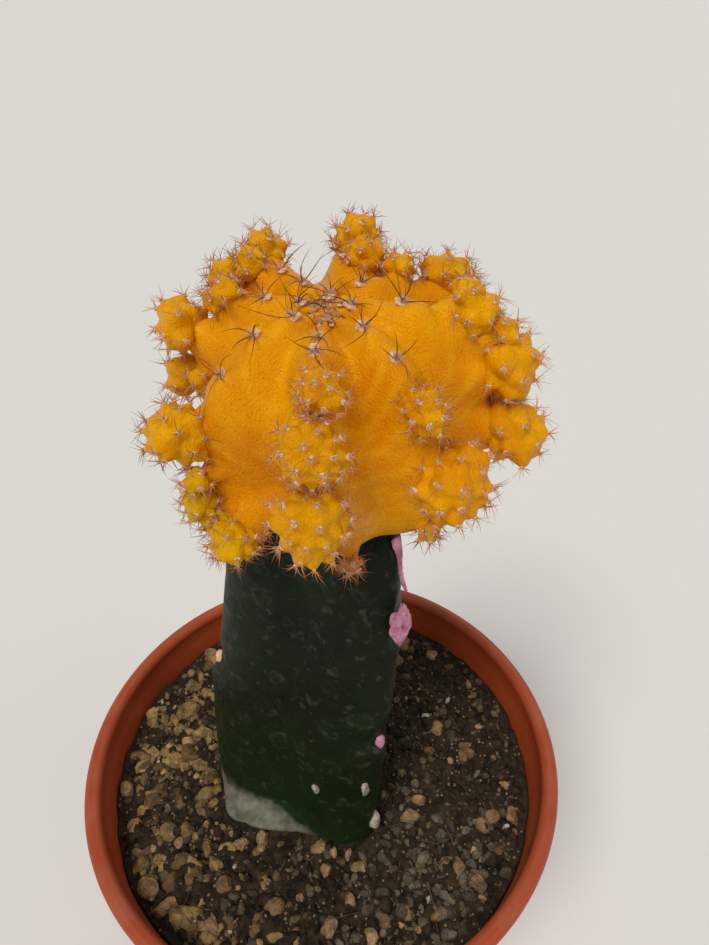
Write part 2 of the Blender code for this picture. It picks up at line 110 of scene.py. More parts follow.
def direction(turn, fall=math.pi / 2):
    """Unit vectors at angles about Z and angles down from straight up."""
    return triples(np.sin(fall) * np.cos(turn), np.sin(fall) * np.sin(turn), np.cos(fall))


def square_axes(directions):
    """Two unit vectors square to each of some unit directions and to each other."""
    helper = np.where(np.abs(directions[..., 2:3]) < 0.9, UP, (1.0, 0.0, 0.0))
    first = unit(np.cross(directions, helper))
    return first, np.cross(directions, first)


def angle_between(directions, spot):
    """Degrees between unit directions and one unit direction."""
    return np.degrees(np.arccos(np.clip(directions @ spot, -1, 1)))


def bell(distance, width, power=2):
    """A soft bump: 1 at distance 0, fading to nothing a little past its width."""
    return np.exp(-(distance / width) ** power)


def ramp(values, start, length):
    """0 up to a start, then a steady rise to 1 over a length."""
    return np.clip((values - start) / length, 0, 1)


def ripple(points, size, seed):
    """Smooth unevenness from -1 to 1 at points, with features of about a size."""
    chance = np.random.default_rng(seed)
    total = np.zeros(points.shape[:-1])
    waves = 9
    for _ in range(waves):
        heading = unit(chance.normal(size=3)) * chance.uniform(0.6, 1.5)
        total += np.sin(points @ heading * (2 * math.pi / size) + chance.uniform(0, 2 * math.pi))
    return total / math.sqrt(waves) / 1.6


@functools.cache
def ball(level):
    """Unit vertices and faces of an icosphere."""
    bm = bmesh.new()
    bmesh.ops.create_icosphere(bm, subdivisions=level, radius=1)
    bm.verts.ensure_lookup_table()
    points = np.array([vertex.co for vertex in bm.verts])
    faces = [[vertex.index for vertex in face.verts] for face in bm.faces]
    bm.free()
    return unit(points), faces


def grid_faces(rings, columns):
    """Quads between rings of points that close on themselves."""
    faces = []
    for low in range(0, (rings - 1) * columns, columns):
        for column in range(columns):
            following = (column + 1) % columns
            high = low + columns
            faces.append((low + column, low + following, high + following, high + column))
    return faces


@functools.cache
def thorn_faces(sides, rings):
    """Faces of one tapered tube: its rings, its pointed tip and its closed foot."""
    faces = [tuple(reversed(face)) for face in grid_faces(rings, sides)]
    tip = rings * sides
    last = tip - sides
    faces += [(last + (side + 1) % sides, last + side, tip) for side in range(sides)]
    return [*faces, tuple(range(sides))]


def thorn_points(roots, directions, bends, lengths, widths, sides, rings):
    """Points of many tapered curved tubes. A bend is where the tip is drawn to, per length."""
    steps = np.linspace(0, 1, rings + 1)[None, :, None]
    lengths = lengths[:, None, None]
    along = roots[:, None] + directions[:, None] * lengths * steps
    along = along + bends[:, None] * lengths * steps ** 2
    heading = unit(directions[:, None] + 2 * bends[:, None] * steps)
    first, second = (axis[:, :-1, None] for axis in square_axes(heading))
    radius = (widths[:, None, None] * (1 - steps) ** 0.7)[:, :-1, None]
    turns = circle(sides)[None, None, :, None]
    tubes = along[:, :-1, None] + (first * np.cos(turns) + second * np.sin(turns)) * radius
    return np.concatenate((tubes.reshape(len(roots), -1, 3), along[:, -1:]), axis=1)


def rising_tones(tones, sides, rings):
    """Tones that run from a thorn's own at its foot to 0.5 more at its tip."""
    steps = np.append(np.repeat(np.linspace(0, 1, rings + 1)[:-1], sides), 1.0)
    return tones[:, None] + steps * 0.5


# ---- pieces

def carry(mesh, name, values):
    """Give a mesh a value for each point."""
    mesh.attributes.new(name, "FLOAT", "POINT").data.foreach_set("value", np.asarray(values, np.float32))


def set_up(name, data):
    """Put a mesh, a lamp or a camera in the scene as an object."""
    thing = bpy.data.objects.new(name, data)
    bpy.context.scene.collection.objects.link(thing)
    return thing


def finished_object(name, mesh, finish):
    """Smooth-shade a mesh and put it in the scene with its material."""
    mesh.shade_smooth()
    mesh.materials.append(finish)
    return set_up(name, mesh)


def make_piece(name, mesh, finish, slot, *nodes):
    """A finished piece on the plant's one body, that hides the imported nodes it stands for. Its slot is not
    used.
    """
    thing = finished_object(name, mesh, finish)
    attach(thing, "root")
    if nodes:
        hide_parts(*nodes)
    return thing


class Bundle:
    """Collects many small closed shapes that become one piece."""

    def __init__(self):
        self.points = []
        self.faces = []
        self.tones = []
        self.count = 0

    def add(self, points, faces, tone):
        """Add a shape (m, 3) or many (n, m, 3), with one tone, or one for each shape or each point."""
        points = points.reshape(-1, *points.shape[-2:])
        number, size = points.shape[:2]
        tone = np.asarray(tone, dtype=float)
        if tone.size > 1:
            tone = tone.reshape(number, -1)
        self.points.append(points.reshape(-1, 3))
        self.tones.append(np.broadcast_to(tone, (number, size)).reshape(-1))
        for start in range(self.count, self.count + number * size, size):
            self.faces.extend([[start + corner for corner in face] for face in faces])
        self.count += number * size

    def add_thorns(self, roots, directions, bends, lengths, widths, sides, rings, tones):
        """Add tapered curved tubes."""
        points = thorn_points(roots, directions, bends, lengths, widths, sides, rings)
        self.add(points, thorn_faces(sides, rings), tones)

    def to_piece(self, name, finish, slot, *nodes):
        """Make the piece, with the tones in an attribute of its own."""
        mesh = bpy.data.meshes.new(name)
        mesh.from_pydata(np.concatenate(self.points).tolist(), [], self.faces)
        carry(mesh, "tone", np.concatenate(self.tones))
        make_piece(name, mesh, finish, slot, *nodes)


def lofted_piece(name, rings, ends, finish, slot, *nodes, **carried):
    """A closed piece through equal rings between two end points, faces out, with values for its points."""
    rings = np.asarray(rings)
    number, columns = rings.shape[:2]
    points = np.concatenate((rings.reshape(-1, 3), ends))
    faces = grid_faces(number, columns)
    first = number * columns
    for column in range(columns):
        following = (column + 1) % columns
        last_ring = first - columns
        faces.append((following, column, first))
        faces.append((last_ring + column, last_ring + following, first + 1))
    mesh = bpy.data.meshes.new(name)
    mesh.from_pydata(points.tolist(), [], faces)
    bm = bmesh.new()
    bm.from_mesh(mesh)
    bmesh.ops.recalc_face_normals(bm, faces=bm.faces)
    bm.to_mesh(mesh)
    bm.free()
    for value_name, values in carried.items():
        carry(mesh, value_name, values)
    return make_piece(name, mesh, finish, slot, *nodes)


# ---- shader helpers

class Look:
    """A shader tree in the making, with the colour laid on so far."""

    def __init__(self, tree):
        self.tree = tree
        self.colour = None

    @functools.cached_property
    def where(self):
        """Coordinates in metres in the model's frame."""
        return self.place("TexCoord").outputs["Object"]

    def place(self, kind, inputs=(), **settings):
        """Add a node of a kind, set its fields, and set or link its inputs."""
        made = self.tree.nodes.new("ShaderNode" + kind)
        for name, value in settings.items():
            setattr(made, name, value)
        for name, value in dict(inputs).items():
            if isinstance(value, bpy.types.NodeSocket):
                self.tree.links.new(value, made.inputs[name])
            else:
                made.inputs[name].default_value = value
        return made

    def carried(self, name):
        """A value that the mesh carries for each point."""
        return self.place("Attribute", attribute_name=name).outputs["Fac"]

    def noise(self, size, detail=3.0, roughness=0.55):
        """Noise with features of about a size in metres, from 0 to 1."""
        inputs = {"Vector": self.where, "Scale": 1 / size, "Detail": detail, "Roughness": roughness}
        return self.place("TexNoise", inputs).outputs["Fac"]

    def cells(self, scale, where=None):
        """Outputs of random cells, so many to a metre."""
        inputs = {"Vector": self.where if where is None else where, "Scale": scale}
        return self.place("TexVoronoi", inputs).outputs

    def own_share(self, cells):
        """A random share for each cell."""
        return self.place("SeparateColor", {"Color": cells["Color"]}).outputs[0]

    def spread(self, value, low, high, to_low=0.0, to_high=1.0):
        """Map a value from one range to another, clamped."""
        inputs = {"Value": value, "From Min": low, "From Max": high, "To Min": to_low, "To Max": to_high}
        return self.place("MapRange", inputs).outputs["Result"]

    def patches(self, size, detail, *ranges):
        """Noise mapped from one range to another, clamped."""
        return self.spread(self.noise(size, detail), *ranges)

    def maths(self, kind, *values):
        """A maths node on one or two values."""
        return self.place("Math", dict(enumerate(values)), operation=kind).outputs[0]

    def times(self, first, second):
        """A product."""
        return self.maths("MULTIPLY", first, second)

    def height_of(self, vector):
        """The Z coordinate."""
        return self.place("SeparateXYZ", {"Vector": vector}).outputs["Z"]

    def blend(self, share, *colours):
        """Mix two colours by a share."""
        first, second = (colour if isinstance(colour, bpy.types.NodeSocket) else (*colour, 1)
                         for colour in colours)
        return self.place("Mix", {0: share, 6: first, 7: second}, data_type="RGBA").outputs[2]

    def paint(self, share, colour):
        """Lay a share of a colour over the colour so far."""
        self.colour = self.blend(share, self.colour, colour)

    def relief(self, height, depth, strength=1.0, under=None):
        """A bump of some depth in metres, over another normal if given."""
        inputs = {"Height": height, "Distance": depth, "Strength": strength}
        if under is not None:
            inputs["Normal"] = under
        return self.place("Bump", inputs).outputs["Normal"]

    def use(self, group, **inputs):
        """Put a group in the tree with its own values."""
        values = {name.replace("_", " "): value for name, value in inputs.items()}
        return self.place("Group", values, node_tree=group).outputs


class Finish(Look):
    """A material in the making, with constants set on the sockets of its Principled shader."""

    def __init__(self, name, **constants):
        self.material = bpy.data.materials.new(name)
        self.material.use_nodes = True
        super().__init__(self.material.node_tree)
        self.shader = self.tree.nodes["Principled BSDF"]
        for socket, value in constants.items():
            self.shader.inputs[socket.replace("_", " ")].default_value = value

    def done(self, **values):
        """Link the colour and other values to the shader, and give the material."""
        for socket, value in {"Base Color": self.colour, **values}.items():
            self.tree.links.new(value, self.shader.inputs[socket])
        return self.material


def new_group(name, inputs, *outputs):
    """An empty shader node group with named values, the values it is given and those it gives."""
    tree = bpy.data.node_groups.new(name, "ShaderNodeTree")
    for socket, value in inputs.items():
        made = tree.interface.new_socket(socket, in_out="INPUT", socket_type="NodeSocketFloat")
        made.default_value = value
    for socket in outputs:
        tree.interface.new_socket(socket, in_out="OUTPUT", socket_type="NodeSocketFloat")
    return Look(tree), tree.nodes.new("NodeGroupInput").outputs, tree.nodes.new("NodeGroupOutput").inputs


# ---- shared effects

def make_flesh_cells():
    """Fine cells of a cactus skin: a mask of the cells and a height, at a cell size."""
    look, given, result = new_group("flesh_cells", {"Cell Size": 0.0003}, "Cells", "Height")
    cells = look.cells(look.maths("DIVIDE", 1.0, given["Cell Size"]))["Distance"]
    domed = look.spread(cells, 0.0, 0.7, 1.0, 0.0)
    swirl = look.patches(2 * MM, 2.0, 0.3, 0.7, 0.5, 1.0)
    look.tree.links.new(domed, result["Cells"])
    look.tree.links.new(look.times(domed, swirl), result["Height"])
    return look.tree


def make_settled_dust():
    """Dust that lies on faces that look up and gathers in patches."""
    look, given, result = new_group("settled_dust", {"Amount": 0.5, "Patch Size": 0.01}, "Dust")
    scale = look.maths("DIVIDE", 1.0, given["Patch Size"])
    patches = look.place("TexNoise", {"Vector": look.where, "Scale": scale, "Detail": 5.0})
    facing = look.place("NewGeometry").outputs["Normal"]
    upward = look.spread(look.height_of(facing), 0.1, 0.95)
    specks = look.patches(0.5 * MM, 2.0, 0.62, 0.72)
    patchy = look.times(look.spread(patches.outputs["Fac"], 0.42, 0.68), upward)
    both = look.maths("MAXIMUM", patchy, look.times(specks, 0.6))
    look.tree.links.new(look.times(both, given["Amount"]), result["Dust"])
    return look.tree


CELLS = make_flesh_cells()
DUST = make_settled_dust()


# ---- materials

def yellow_flesh(name, bright, deep, pale, cell_size):
    """Translucent yellow flesh: warm where it is thick, paler on its folds, with fine cells.

    Its tone runs from orange at 0 to greenish yellow at 1, and to pink at 2.
    """
    look = Finish(name, Subsurface_Weight=0.28, Subsurface_Scale=1.2 * MM,
                  Subsurface_Radius=(1.0, 0.36, 0.03),
                  Specular_IOR_Level=0.3, Specular_Tint=(1.0, 0.66, 0.12, 1))
    greenish = (0.60, 0.37, 0.002)
    pink = (0.58, 0.17, 0.15)
    speck = [0.72 * part for part in deep]
    tone = look.carried("tone")
    cells = look.use(CELLS, Cell_Size=cell_size)
    look.colour = look.blend(look.patches(9 * MM, 2.0, 0.35, 0.65), deep, bright)
    look.paint(look.spread(tone, 0.0, 1.0), greenish)
    look.paint(look.times(look.carried("pale"), 0.75), pale)
    look.paint(look.times(look.patches(2.6 * MM, 3.0, 0.5, 0.72), 0.35), pale)
    look.paint(look.times(cells["Cells"], 0.30), pale)
    look.paint(look.spread(tone, 1.0, 2.0, 0.0, 0.7), pink)
    look.paint(look.patches(0.45 * MM, 1.0, 0.66, 0.76, 0.0, 0.5), speck)
    gloss = look.patches(1.5 * MM, 3.0, 0.3, 0.7, 0.24, 0.42)
    soft = look.relief(look.noise(1.1 * MM, 2.0), 0.12 * MM)
    return look.done(Roughness=gloss, Normal=look.relief(cells["Height"], 0.09 * MM, 1.0, soft))


def spine_horn():
    """Thin horny spines: pale at the foot and brown to dark at the tip, each a little different."""
    look = Finish("spine_horn", Roughness=0.5, Specular_IOR_Level=0.1)
    shades = look.place("ValToRGB", {"Fac": look.carried("tone")})
    stops = shades.color_ramp.elements
    stops[0].position = 0.05
    stops[0].color = (0.82, 0.47, 0.26, 1)
    stops[1].position = 0.9
    stops[1].color = (0.080, 0.017, 0.002, 1)
    for position, shade in ((0.35, (0.66, 0.28, 0.11, 1)), (0.62, (0.30, 0.085, 0.016, 1))):
        stops.new(position).color = shade
    look.colour = shades.outputs["Color"]
    return look.done()


def areole_wool():
    """Felted pinkish-white wool."""
    look = Finish("areole_wool", Roughness=0.95, Sheen_Weight=0.15, Sheen_Roughness=0.5)
    felt = look.noise(0.18 * MM, 4.0, 0.7)
    look.colour = look.blend(look.spread(felt, 0.35, 0.65), (0.70, 0.37, 0.20), (0.92, 0.64, 0.43))
    look.paint(look.spread(look.carried("tone"), 0.0, 1.0, 0.0, 0.5), (0.94, 0.73, 0.54))
    return look.done(Normal=look.relief(felt, 0.08 * MM))


def broken_rings(look):
    """Faint rings, some filled, that swirl and break up like the marks on a stem."""
    swirl = look.place("TexNoise", {"Vector": look.where, "Scale": 330.0, "Detail": 3.0})
    swirl = look.place("VectorMath", {0: swirl.outputs["Color"], "Scale": 3.0 * MM},
                       operation="SCALE").outputs[0]
    warped = look.place("VectorMath", {0: look.where, 1: swirl}, operation="ADD").outputs[0]
    rings = look.cells(1 / (5.0 * MM), warped)
    off_ring = look.maths("ABSOLUTE", look.maths("SUBTRACT", rings["Distance"], 0.34))
    ring = look.spread(off_ring, 0.015, 0.10, 1.0, 0.0)
    inside = look.spread(rings["Distance"], 0.25, 0.38, 0.35, 0.0)
    broken = look.patches(1.1 * MM, 3.0, 0.38, 0.62)
    shown = look.spread(look.own_share(rings), 0.35, 1.0)
    return look.times(look.times(look.maths("MAXIMUM", ring, inside), broken), shown)


def green_skin():
    """Waxy dark green stem skin with faint pale rings, and a corky scar at its foot."""
    look = Finish("stem_skin", Subsurface_Weight=0.06, Subsurface_Scale=1 * MM,
                  Subsurface_Radius=(0.4, 1.0, 0.3), Specular_IOR_Level=0.10)
    mottle = look.patches(14 * MM, 3.0, 0.35, 0.65)
    look.colour = look.blend(mottle, (0.005, 0.009, 0.004), (0.009, 0.018, 0.006))
    foot = look.spread(look.height_of(look.where), SOIL_HIGH, SOIL_HIGH + 28 * MM, 1.0, 0.0)
    look.paint(look.times(foot, 0.6), (0.013, 0.034, 0.008))
    look.paint(look.times(broken_rings(look), 0.5), (0.050, 0.068, 0.045))
    look.paint(look.patches(0.8 * MM, 2.0, 0.66, 0.76, 0.0, 0.3), (0.05, 0.07, 0.04))
    ragged = look.maths("ADD", look.carried("scar"), look.patches(2.0 * MM, 4.0, 0.3, 0.7, -0.25, 0.25))
    corky = look.spread(ragged, 0.1, 1.0)
    fibres = look.patches(2.2 * MM, 3.0, 0.3, 0.7)
    look.paint(corky, look.blend(fibres, (0.085, 0.084, 0.060), (0.25, 0.24, 0.175)))
    gloss = look.maths("ADD", look.patches(3 * MM, 4.0, 0.3, 0.7, 0.38, 0.55), look.times(corky, 0.35))
    dents = look.relief(look.noise(3.0 * MM, 2.0), 0.25 * MM, 0.7)
    return look.done(Roughness=gloss, Normal=look.relief(look.noise(0.4 * MM, 2.0), 0.03 * MM, 0.7, dents))


def dried_skin():
    """Dry pink and purple skin and cork, darker in its pits."""
    look = Finish("dried_skin", Roughness=0.7, Specular_IOR_Level=0.3)
    look.colour = look.blend(look.patches(1.4 * MM, 4.0, 0.35, 0.65), (0.36, 0.10, 0.20), (0.62, 0.30, 0.40))
    look.paint(look.spread(look.carried("tone"), 0.5, 1.0), (0.14, 0.035, 0.055))
    return look.done(Normal=look.relief(look.noise(0.4 * MM, 4.0), 0.12 * MM))


def pot_plastic():
    """Terracotta-coloured moulded plastic: satin, faintly mottled and dusty, with scuffs that run round."""
    look = Finish("pot_plastic", Specular_IOR_Level=0.35)
    look.colour = look.blend(look.patches(16 * MM, 4.0, 0.3, 0.7), (0.35, 0.052, 0.014), (0.40, 0.066, 0.019))
    dust = look.use(DUST, Amount=0.20, Patch_Size=6 * MM)["Dust"]
    look.paint(dust, (0.42, 0.22, 0.13))
    flattened = look.place("Mapping", {"Vector": look.where, "Scale": (1.0, 1.0, 14.0)})
    scuffs = look.place("TexNoise", {
        "Vector": flattened.outputs["Vector"], "Scale": 90.0, "Detail": 6.0})
    gloss = look.spread(scuffs.outputs["Fac"], 0.35, 0.65, 0.36, 0.56)
    gloss = look.maths("ADD", gloss, look.times(dust, 0.4))
    return look.done(Roughness=gloss, Normal=look.relief(look.noise(0.35 * MM), 0.015 * MM))


def peat():
    """Dark crumbly peat with fine pale sand."""
    look = Finish("peat", Roughness=0.95, Specular_IOR_Level=0.2)
    crumbs = look.noise(1.6 * MM, 8.0, 0.65)
    look.colour = look.blend(look.spread(crumbs, 0.35, 0.68), (0.008, 0.006, 0.004), (0.060, 0.038, 0.022))
    sand = look.cells(1 / (0.8 * MM))
    picked = look.spread(look.own_share(sand), 0.82, 0.86)
    look.paint(look.times(picked, look.spread(sand["Distance"], 0.25, 0.35, 1.0, 0.0)), (0.26, 0.18, 0.09))
    bumps = look.relief(crumbs, 0.5 * MM)
    return look.done(Normal=look.relief(look.noise(0.3 * MM, 4.0), 0.15 * MM, 1.0, bumps))


def stone(name, dark, light, pit_size):
    """Rough porous stone whose tone changes from one stone to the next."""
    look = Finish(name, Roughness=0.88, Specular_IOR_Level=0.3)
    look.colour = look.blend(look.spread(look.carried("tone"), 0.0, 1.0), dark, light)
    look.paint(look.times(look.patches(1.1 * MM, 5.0, 0.35, 0.7), 0.65), [0.35 * part for part in dark])
    look.paint(look.patches(2.5 * MM, 4.0, 0.5, 0.7, 0.0, 0.7), (0.05, 0.033, 0.018))
    bumps = look.relief(look.cells(1 / pit_size)["Distance"], 0.22 * MM)
    return look.done(Normal=look.relief(look.noise(0.25 * MM, 4.0), 0.08 * MM, 1.0, bumps))


SCION_FLESH = yellow_flesh(
    "scion_flesh", (0.80, 0.33, 0.001), (0.68, 0.22, 0.0005), (0.88, 0.47, 0.010), 0.30 * MM)
PUP_FLESH = yellow_flesh(
    "pup_flesh", (0.80, 0.35, 0.001), (0.68, 0.24, 0.0005), (0.88, 0.49, 0.010), 0.24 * MM)
SPINE = spine_horn()
WOOL = areole_wool()
STEM_SKIN = green_skin()
DRIED = dried_skin()
PLASTIC = pot_plastic()
PEAT = peat()
PUMICE = stone("pumice", (0.15, 0.082, 0.036), (0.54, 0.34, 0.17), 0.5 * MM)
YELLOW_PUMICE = stone("yellow_pumice", (0.12, 0.072, 0.026), (0.50, 0.32, 0.12), 0.5 * MM)
GREY_GRIT = stone("grey_grit", (0.060, 0.046, 0.030), (0.22, 0.175, 0.115), 0.4 * MM)
PERLITE = stone("perlite", (0.42, 0.36, 0.29), (0.74, 0.66, 0.56), 0.35 * MM)
GRIT = stone("grit", (0.045, 0.032, 0.020), (0.22, 0.15, 0.08), 0.4 * MM)


# ---- pot

POT_COLUMNS = 192
LIP_WIDTH = 3 * MM
COLLAR_HEIGHT = 9.5 * MM
FOOT_RADIUS = 32.5 * MM
WALL = 1.2 * MM
BASE = 1.5 * MM
CENTRE_DISC = 6 * MM       # radius of the innermost ring of the floor
CORNER = 0.9 * MM          # radius of the rounded corners outside
GROOVE = (22 * MM, 29 * MM)
DRAIN_HOLES = 8
DRAIN_RADIUS = 2 * MM
SHARP_ANGLE = 50           # edges of the pot past this many degrees stay crisp


def inner_radius(height):
    """Radius of the pot's inner wall at a height."""
    share = (height - BASE) / (POT_HEIGHT - BASE)
    low = FOOT_RADIUS - WALL
    return low + (RIM_RADIUS - LIP_WIDTH - low) * share


def arc(centre_radius, centre_height, radius, start, end, steps):
    """Section points on an arc, between two angles in degrees."""
    angles = np.radians(np.linspace(start, end, steps))
    return [(centre_radius + radius * math.cos(a), centre_height + radius * math.sin(a)) for a in angles]


def pot_section():
    """Half section of the pot: foot, drain groove, wall, collar, rolled lip and inside."""
    groove_in, groove_out = GROOVE
    collar_low = POT_HEIGHT - COLLAR_HEIGHT
    ease = 0.5 * MM
    points = [(CENTRE_DISC, 0), (groove_in - 2 * ease, 0)]
    points += [(groove_in - ease, 0.15 * MM), (groove_in, BASE), (groove_out, BASE)]
    points += [(groove_out + ease, 0.15 * MM), (groove_out + 2 * ease, 0)]
    points += arc(FOOT_RADIUS - CORNER, CORNER, CORNER, -90, -8, 6)
    wall_top = inner_radius(collar_low) + WALL
    points += [(FOOT_RADIUS + (wall_top - FOOT_RADIUS) * t, CORNER + (collar_low - 2 * CORNER) * t)
               for t in (0.3, 0.6, 0.9)]
    points += arc(wall_top + CORNER, collar_low - CORNER, CORNER, 170, 100, 5)
    points += arc(RIM_RADIUS - 2.0 * MM, collar_low + 0.6 * MM, 0.6 * MM, -90, 0, 5)
    lip = LIP_WIDTH / 2
    points += [(RIM_RADIUS - 1.25 * MM, collar_low + 2.6 * MM), (RIM_RADIUS - 1.1 * MM, POT_HEIGHT - 4 * MM)]
    points += arc(RIM_RADIUS - lip, POT_HEIGHT - lip, lip, -30, 205, 18)
    points += [(inner_radius(z), z) for z in (POT_HEIGHT - 4.5 * MM, POT_HEIGHT - 12 * MM, 40 * MM, 5 * MM)]
    points += arc(inner_radius(BASE) - 2 * MM, BASE + 2 * MM, 2 * MM, -10, -90, 5)
    points += [(groove_out + 0.8 * MM, BASE), (groove_out, 2 * BASE)]
    points += [(groove_in, 2 * BASE), (groove_in - 1.2 * MM, BASE), (CENTRE_DISC, BASE)]
    return points


def ring_at(radius, height, columns):
    """Points of a level circle."""
    turns = circle(columns)
    return triples(radius * np.cos(turns), radius * np.sin(turns), height)


def make_drills():
    """Round bars that stand where the drain holes go."""
    bm = bmesh.new()
    for number in range(DRAIN_HOLES):
        place_at = sum(GROOVE) / 2 * direction(2 * math.pi * (number + 0.5) / DRAIN_HOLES)
        made = bmesh.ops.create_cone(bm, cap_ends=True, segments=24, radius1=DRAIN_RADIUS,
                                     radius2=DRAIN_RADIUS, depth=6 * BASE)
        bmesh.ops.translate(bm, verts=made["verts"], vec=(*place_at[:2], BASE))
    mesh = bpy.data.meshes.new("drills")
    bm.to_mesh(mesh)
    bm.free()
    return finished_object("drills", mesh, PLASTIC)


def make_pot():
    """Turn the pot and cut its drain holes."""
    rings = [ring_at(radius, height, POT_COLUMNS) for radius, height in pot_section()]
    ends = ((0, 0, 0), (0, 0, BASE))
    pot = lofted_piece("plastic_pot", rings, ends, PLASTIC, "pot_plastic", "pot")
    drills = make_drills()
    boolean = pot.modifiers.new("drain_holes", "BOOLEAN")
    boolean.operation = "DIFFERENCE"
    boolean.solver = "EXACT"
    boolean.object = drills
    shaped = pot.evaluated_get(bpy.context.evaluated_depsgraph_get())
    mesh = bpy.data.meshes.new_from_object(shaped)
    pot.modifiers.clear()
    pot.data = mesh
    bpy.data.objects.remove(drills)
    mesh.set_sharp_from_angle(angle=math.radians(SHARP_ANGLE))


# ---- soil

SOIL_COLUMNS = 240
SOIL_RINGS = 110
STEM_ROOM = 1.0 * MM       # loose grains keep this far from the stem
CUTS = 9                   # flat sides cut off each stone
FIBRES = 260
SMALL_STONES = (           # x, y and radius in mm, and tone
    (-10.9, -15.2, 1.5, 0.8), (-18.4, -13.4, 0.9, 0.4), (-16.6, -14.4, 0.8, 0.6), (1, -20.8, 1.4, 0.6),
    (2.3, -17.8, 1.0, 0.9), (5.0, -18.0, 1.1, 0.7), (5.2, -25.7, 1.4, 0.8), (32, -11.4, 1.9, 0.6),
    (18.6, -8.4, 1.6, 0.7), (-38.5, -6, 2.0, 0.5), (2, -30, 1.7, 0.5), (-16.5, -23.5, 1.7, 0.3),
    (-30, -24, 2.1, 0.6), (20.5, -28, 1.5, 0.5), (-25.5, 25, 1.6, 1.0), (-27.5, 27.5, 1.5, 0.6))


def soil_height(x, y):
    """Height of the soil's top at points: gentle heaps, a rise round the stem, and crumbs."""
    along = x / (9 * MM)
    across = y / (8 * MM)
    heaps = np.sin(along + 0.6) * np.cos(across - 0.4) + 0.5 * np.sin(0.7 * along - across)
    rise = np.exp(-(x * x + y * y) / (24 * MM) ** 2)
    flat = triples(x, y, 0.0)
    crumbs = 0.7 * MM * ripple(flat, 6 * MM, 1) + 0.3 * MM * ripple(flat, 2.2 * MM, 2)
    return SOIL_HIGH - 1.1 * MM + 0.7 * MM * (0.6 * heaps + 0.8 * rise) + crumbs


def make_soil_bed():
    """The soil plug: a crumbly top, and sides and a bottom inside the pot."""
    corner = 5 * MM
    outline = ((4 * MM, SOIL_LOW), (inner_radius(SOIL_LOW) - 2.5 * MM, SOIL_LOW),
               (inner_radius(corner) - 0.5 * MM, corner))
    rings = [ring_at(radius, height, SOIL_COLUMNS) for radius, height in outline]
    edge = inner_radius(SOIL_HIGH) - 0.35 * MM
    for share in np.linspace(1, 0.01, SOIL_RINGS):
        x, y, _ = ring_at(edge * share, 0, SOIL_COLUMNS).T
        rings.append(triples(x, y, soil_height(x, y)))
    top = float(soil_height(np.zeros(1), np.zeros(1))[0])
    lofted_piece("soil_bed", rings, ((0, 0, SOIL_LOW), (0, 0, top)), PEAT, "soil", "soil")


def stone_points(template, chance, count, roughness):
    """Unit stones: globes cut by random planes and roughened, each its own shape."""
    shapes = np.empty((count, *template.shape))
    for number in range(count):
        planes = unit(chance.normal(size=(CUTS, 3)))
        distances = chance.uniform(0.62, 0.95, CUTS)
        facing = template @ planes.T
        cut = np.where(facing > 0.05, distances / np.maximum(facing, 0.05), 2.0).min(axis=1)
        reach = np.minimum(1.0, cut)
        reach = reach * (1 + roughness * ripple(template, 0.9, int(chance.integers(1, LARGEST_SEED))))
        stretch = np.array((1.0, chance.uniform(0.65, 0.95), chance.uniform(0.5, 0.85)))
        first, second = square_axes(unit(chance.normal(size=3)))
        axes = np.array((first, second, np.cross(first, second)))
        shapes[number] = (template * reach[:, None] * stretch) @ axes
    return shapes


def open_soil_points(chance, count, radius, where=None):
    """Random points on the soil, clear of the stem, gathered where a share from 0 to 1 is high."""
    tries = 12 * count
    turns = chance.uniform(0, 2 * math.pi, tries)
    away = radius * np.sqrt(chance.random(tries))
    x = away * np.cos(turns)
    y = away * np.sin(turns)
    beside = x - stem_middle(SOIL_HIGH)
    azimuth = np.degrees(np.arctan2(y - STEM_Y, beside))
    room = stem_reach(azimuth, SOIL_HIGH) + foot_flare(azimuth) + STEM_ROOM
    keep = np.hypot(beside, y - STEM_Y) > room
    if where is not None:
        keep &= chance.random(tries) < where(x, y)
    chosen = np.nonzero(keep)[0][:count]
    return x[chosen], y[chosen]


def clumps(x, y, seed):
    """Patches from 0 to 1 in which loose stones gather."""
    return np.clip(0.5 + 1.1 * ripple(triples(x, y, 0.0), 13 * MM, seed), 0, 1)


def left_side(x, y):
    """Share of the yellow pumice: most of it lies along the left wall."""
    return ramp(-x, 6 * MM, 18 * MM) * (0.35 + 0.65 * clumps(x, y, 31))


def right_side(x, y):
    """Share of the tan gravel: by the right wall and thinly all over."""
    return 0.12 + 0.88 * ramp(np.hypot(x, y), 24 * MM, 10 * MM) * clumps(x, y, 32)


def front_right(x, y):
    """Share of the grey gravel: in front on the right."""
    return 0.1 + 0.9 * ramp(x, 2 * MM, 12 * MM) * ramp(-y, 6 * MM, 10 * MM)


# name, material, slot, how many, smallest and largest radius in mm, how deep each sinks as a share of
# its radius, detail, roughness, and where most of them lie
LOOSE_GRAINS = (
    ("peat_crumbs", PEAT, "soil", 1300, 0.5, 2.0, 0.2, 2, 0.16, None),
    ("dark_grit", GRIT, "grain", 1300, 0.3, 1.2, 0.1, 2, 0.08, None),
    ("grey_grit", GREY_GRIT, "grain", 420, 0.4, 1.5, 0.1, 3, 0.10, front_right),
    ("yellow_pumice", YELLOW_PUMICE, "grain", 300, 0.6, 2.6, 0.2, 3, 0.09, left_side),
    ("tan_gravel", PUMICE, "grain", 170, 0.6, 2.2, 0.2, 3, 0.08, right_side),
    ("white_perlite", PERLITE, "grain", 26, 0.5, 1.2, 0.0, 3, 0.05, None))


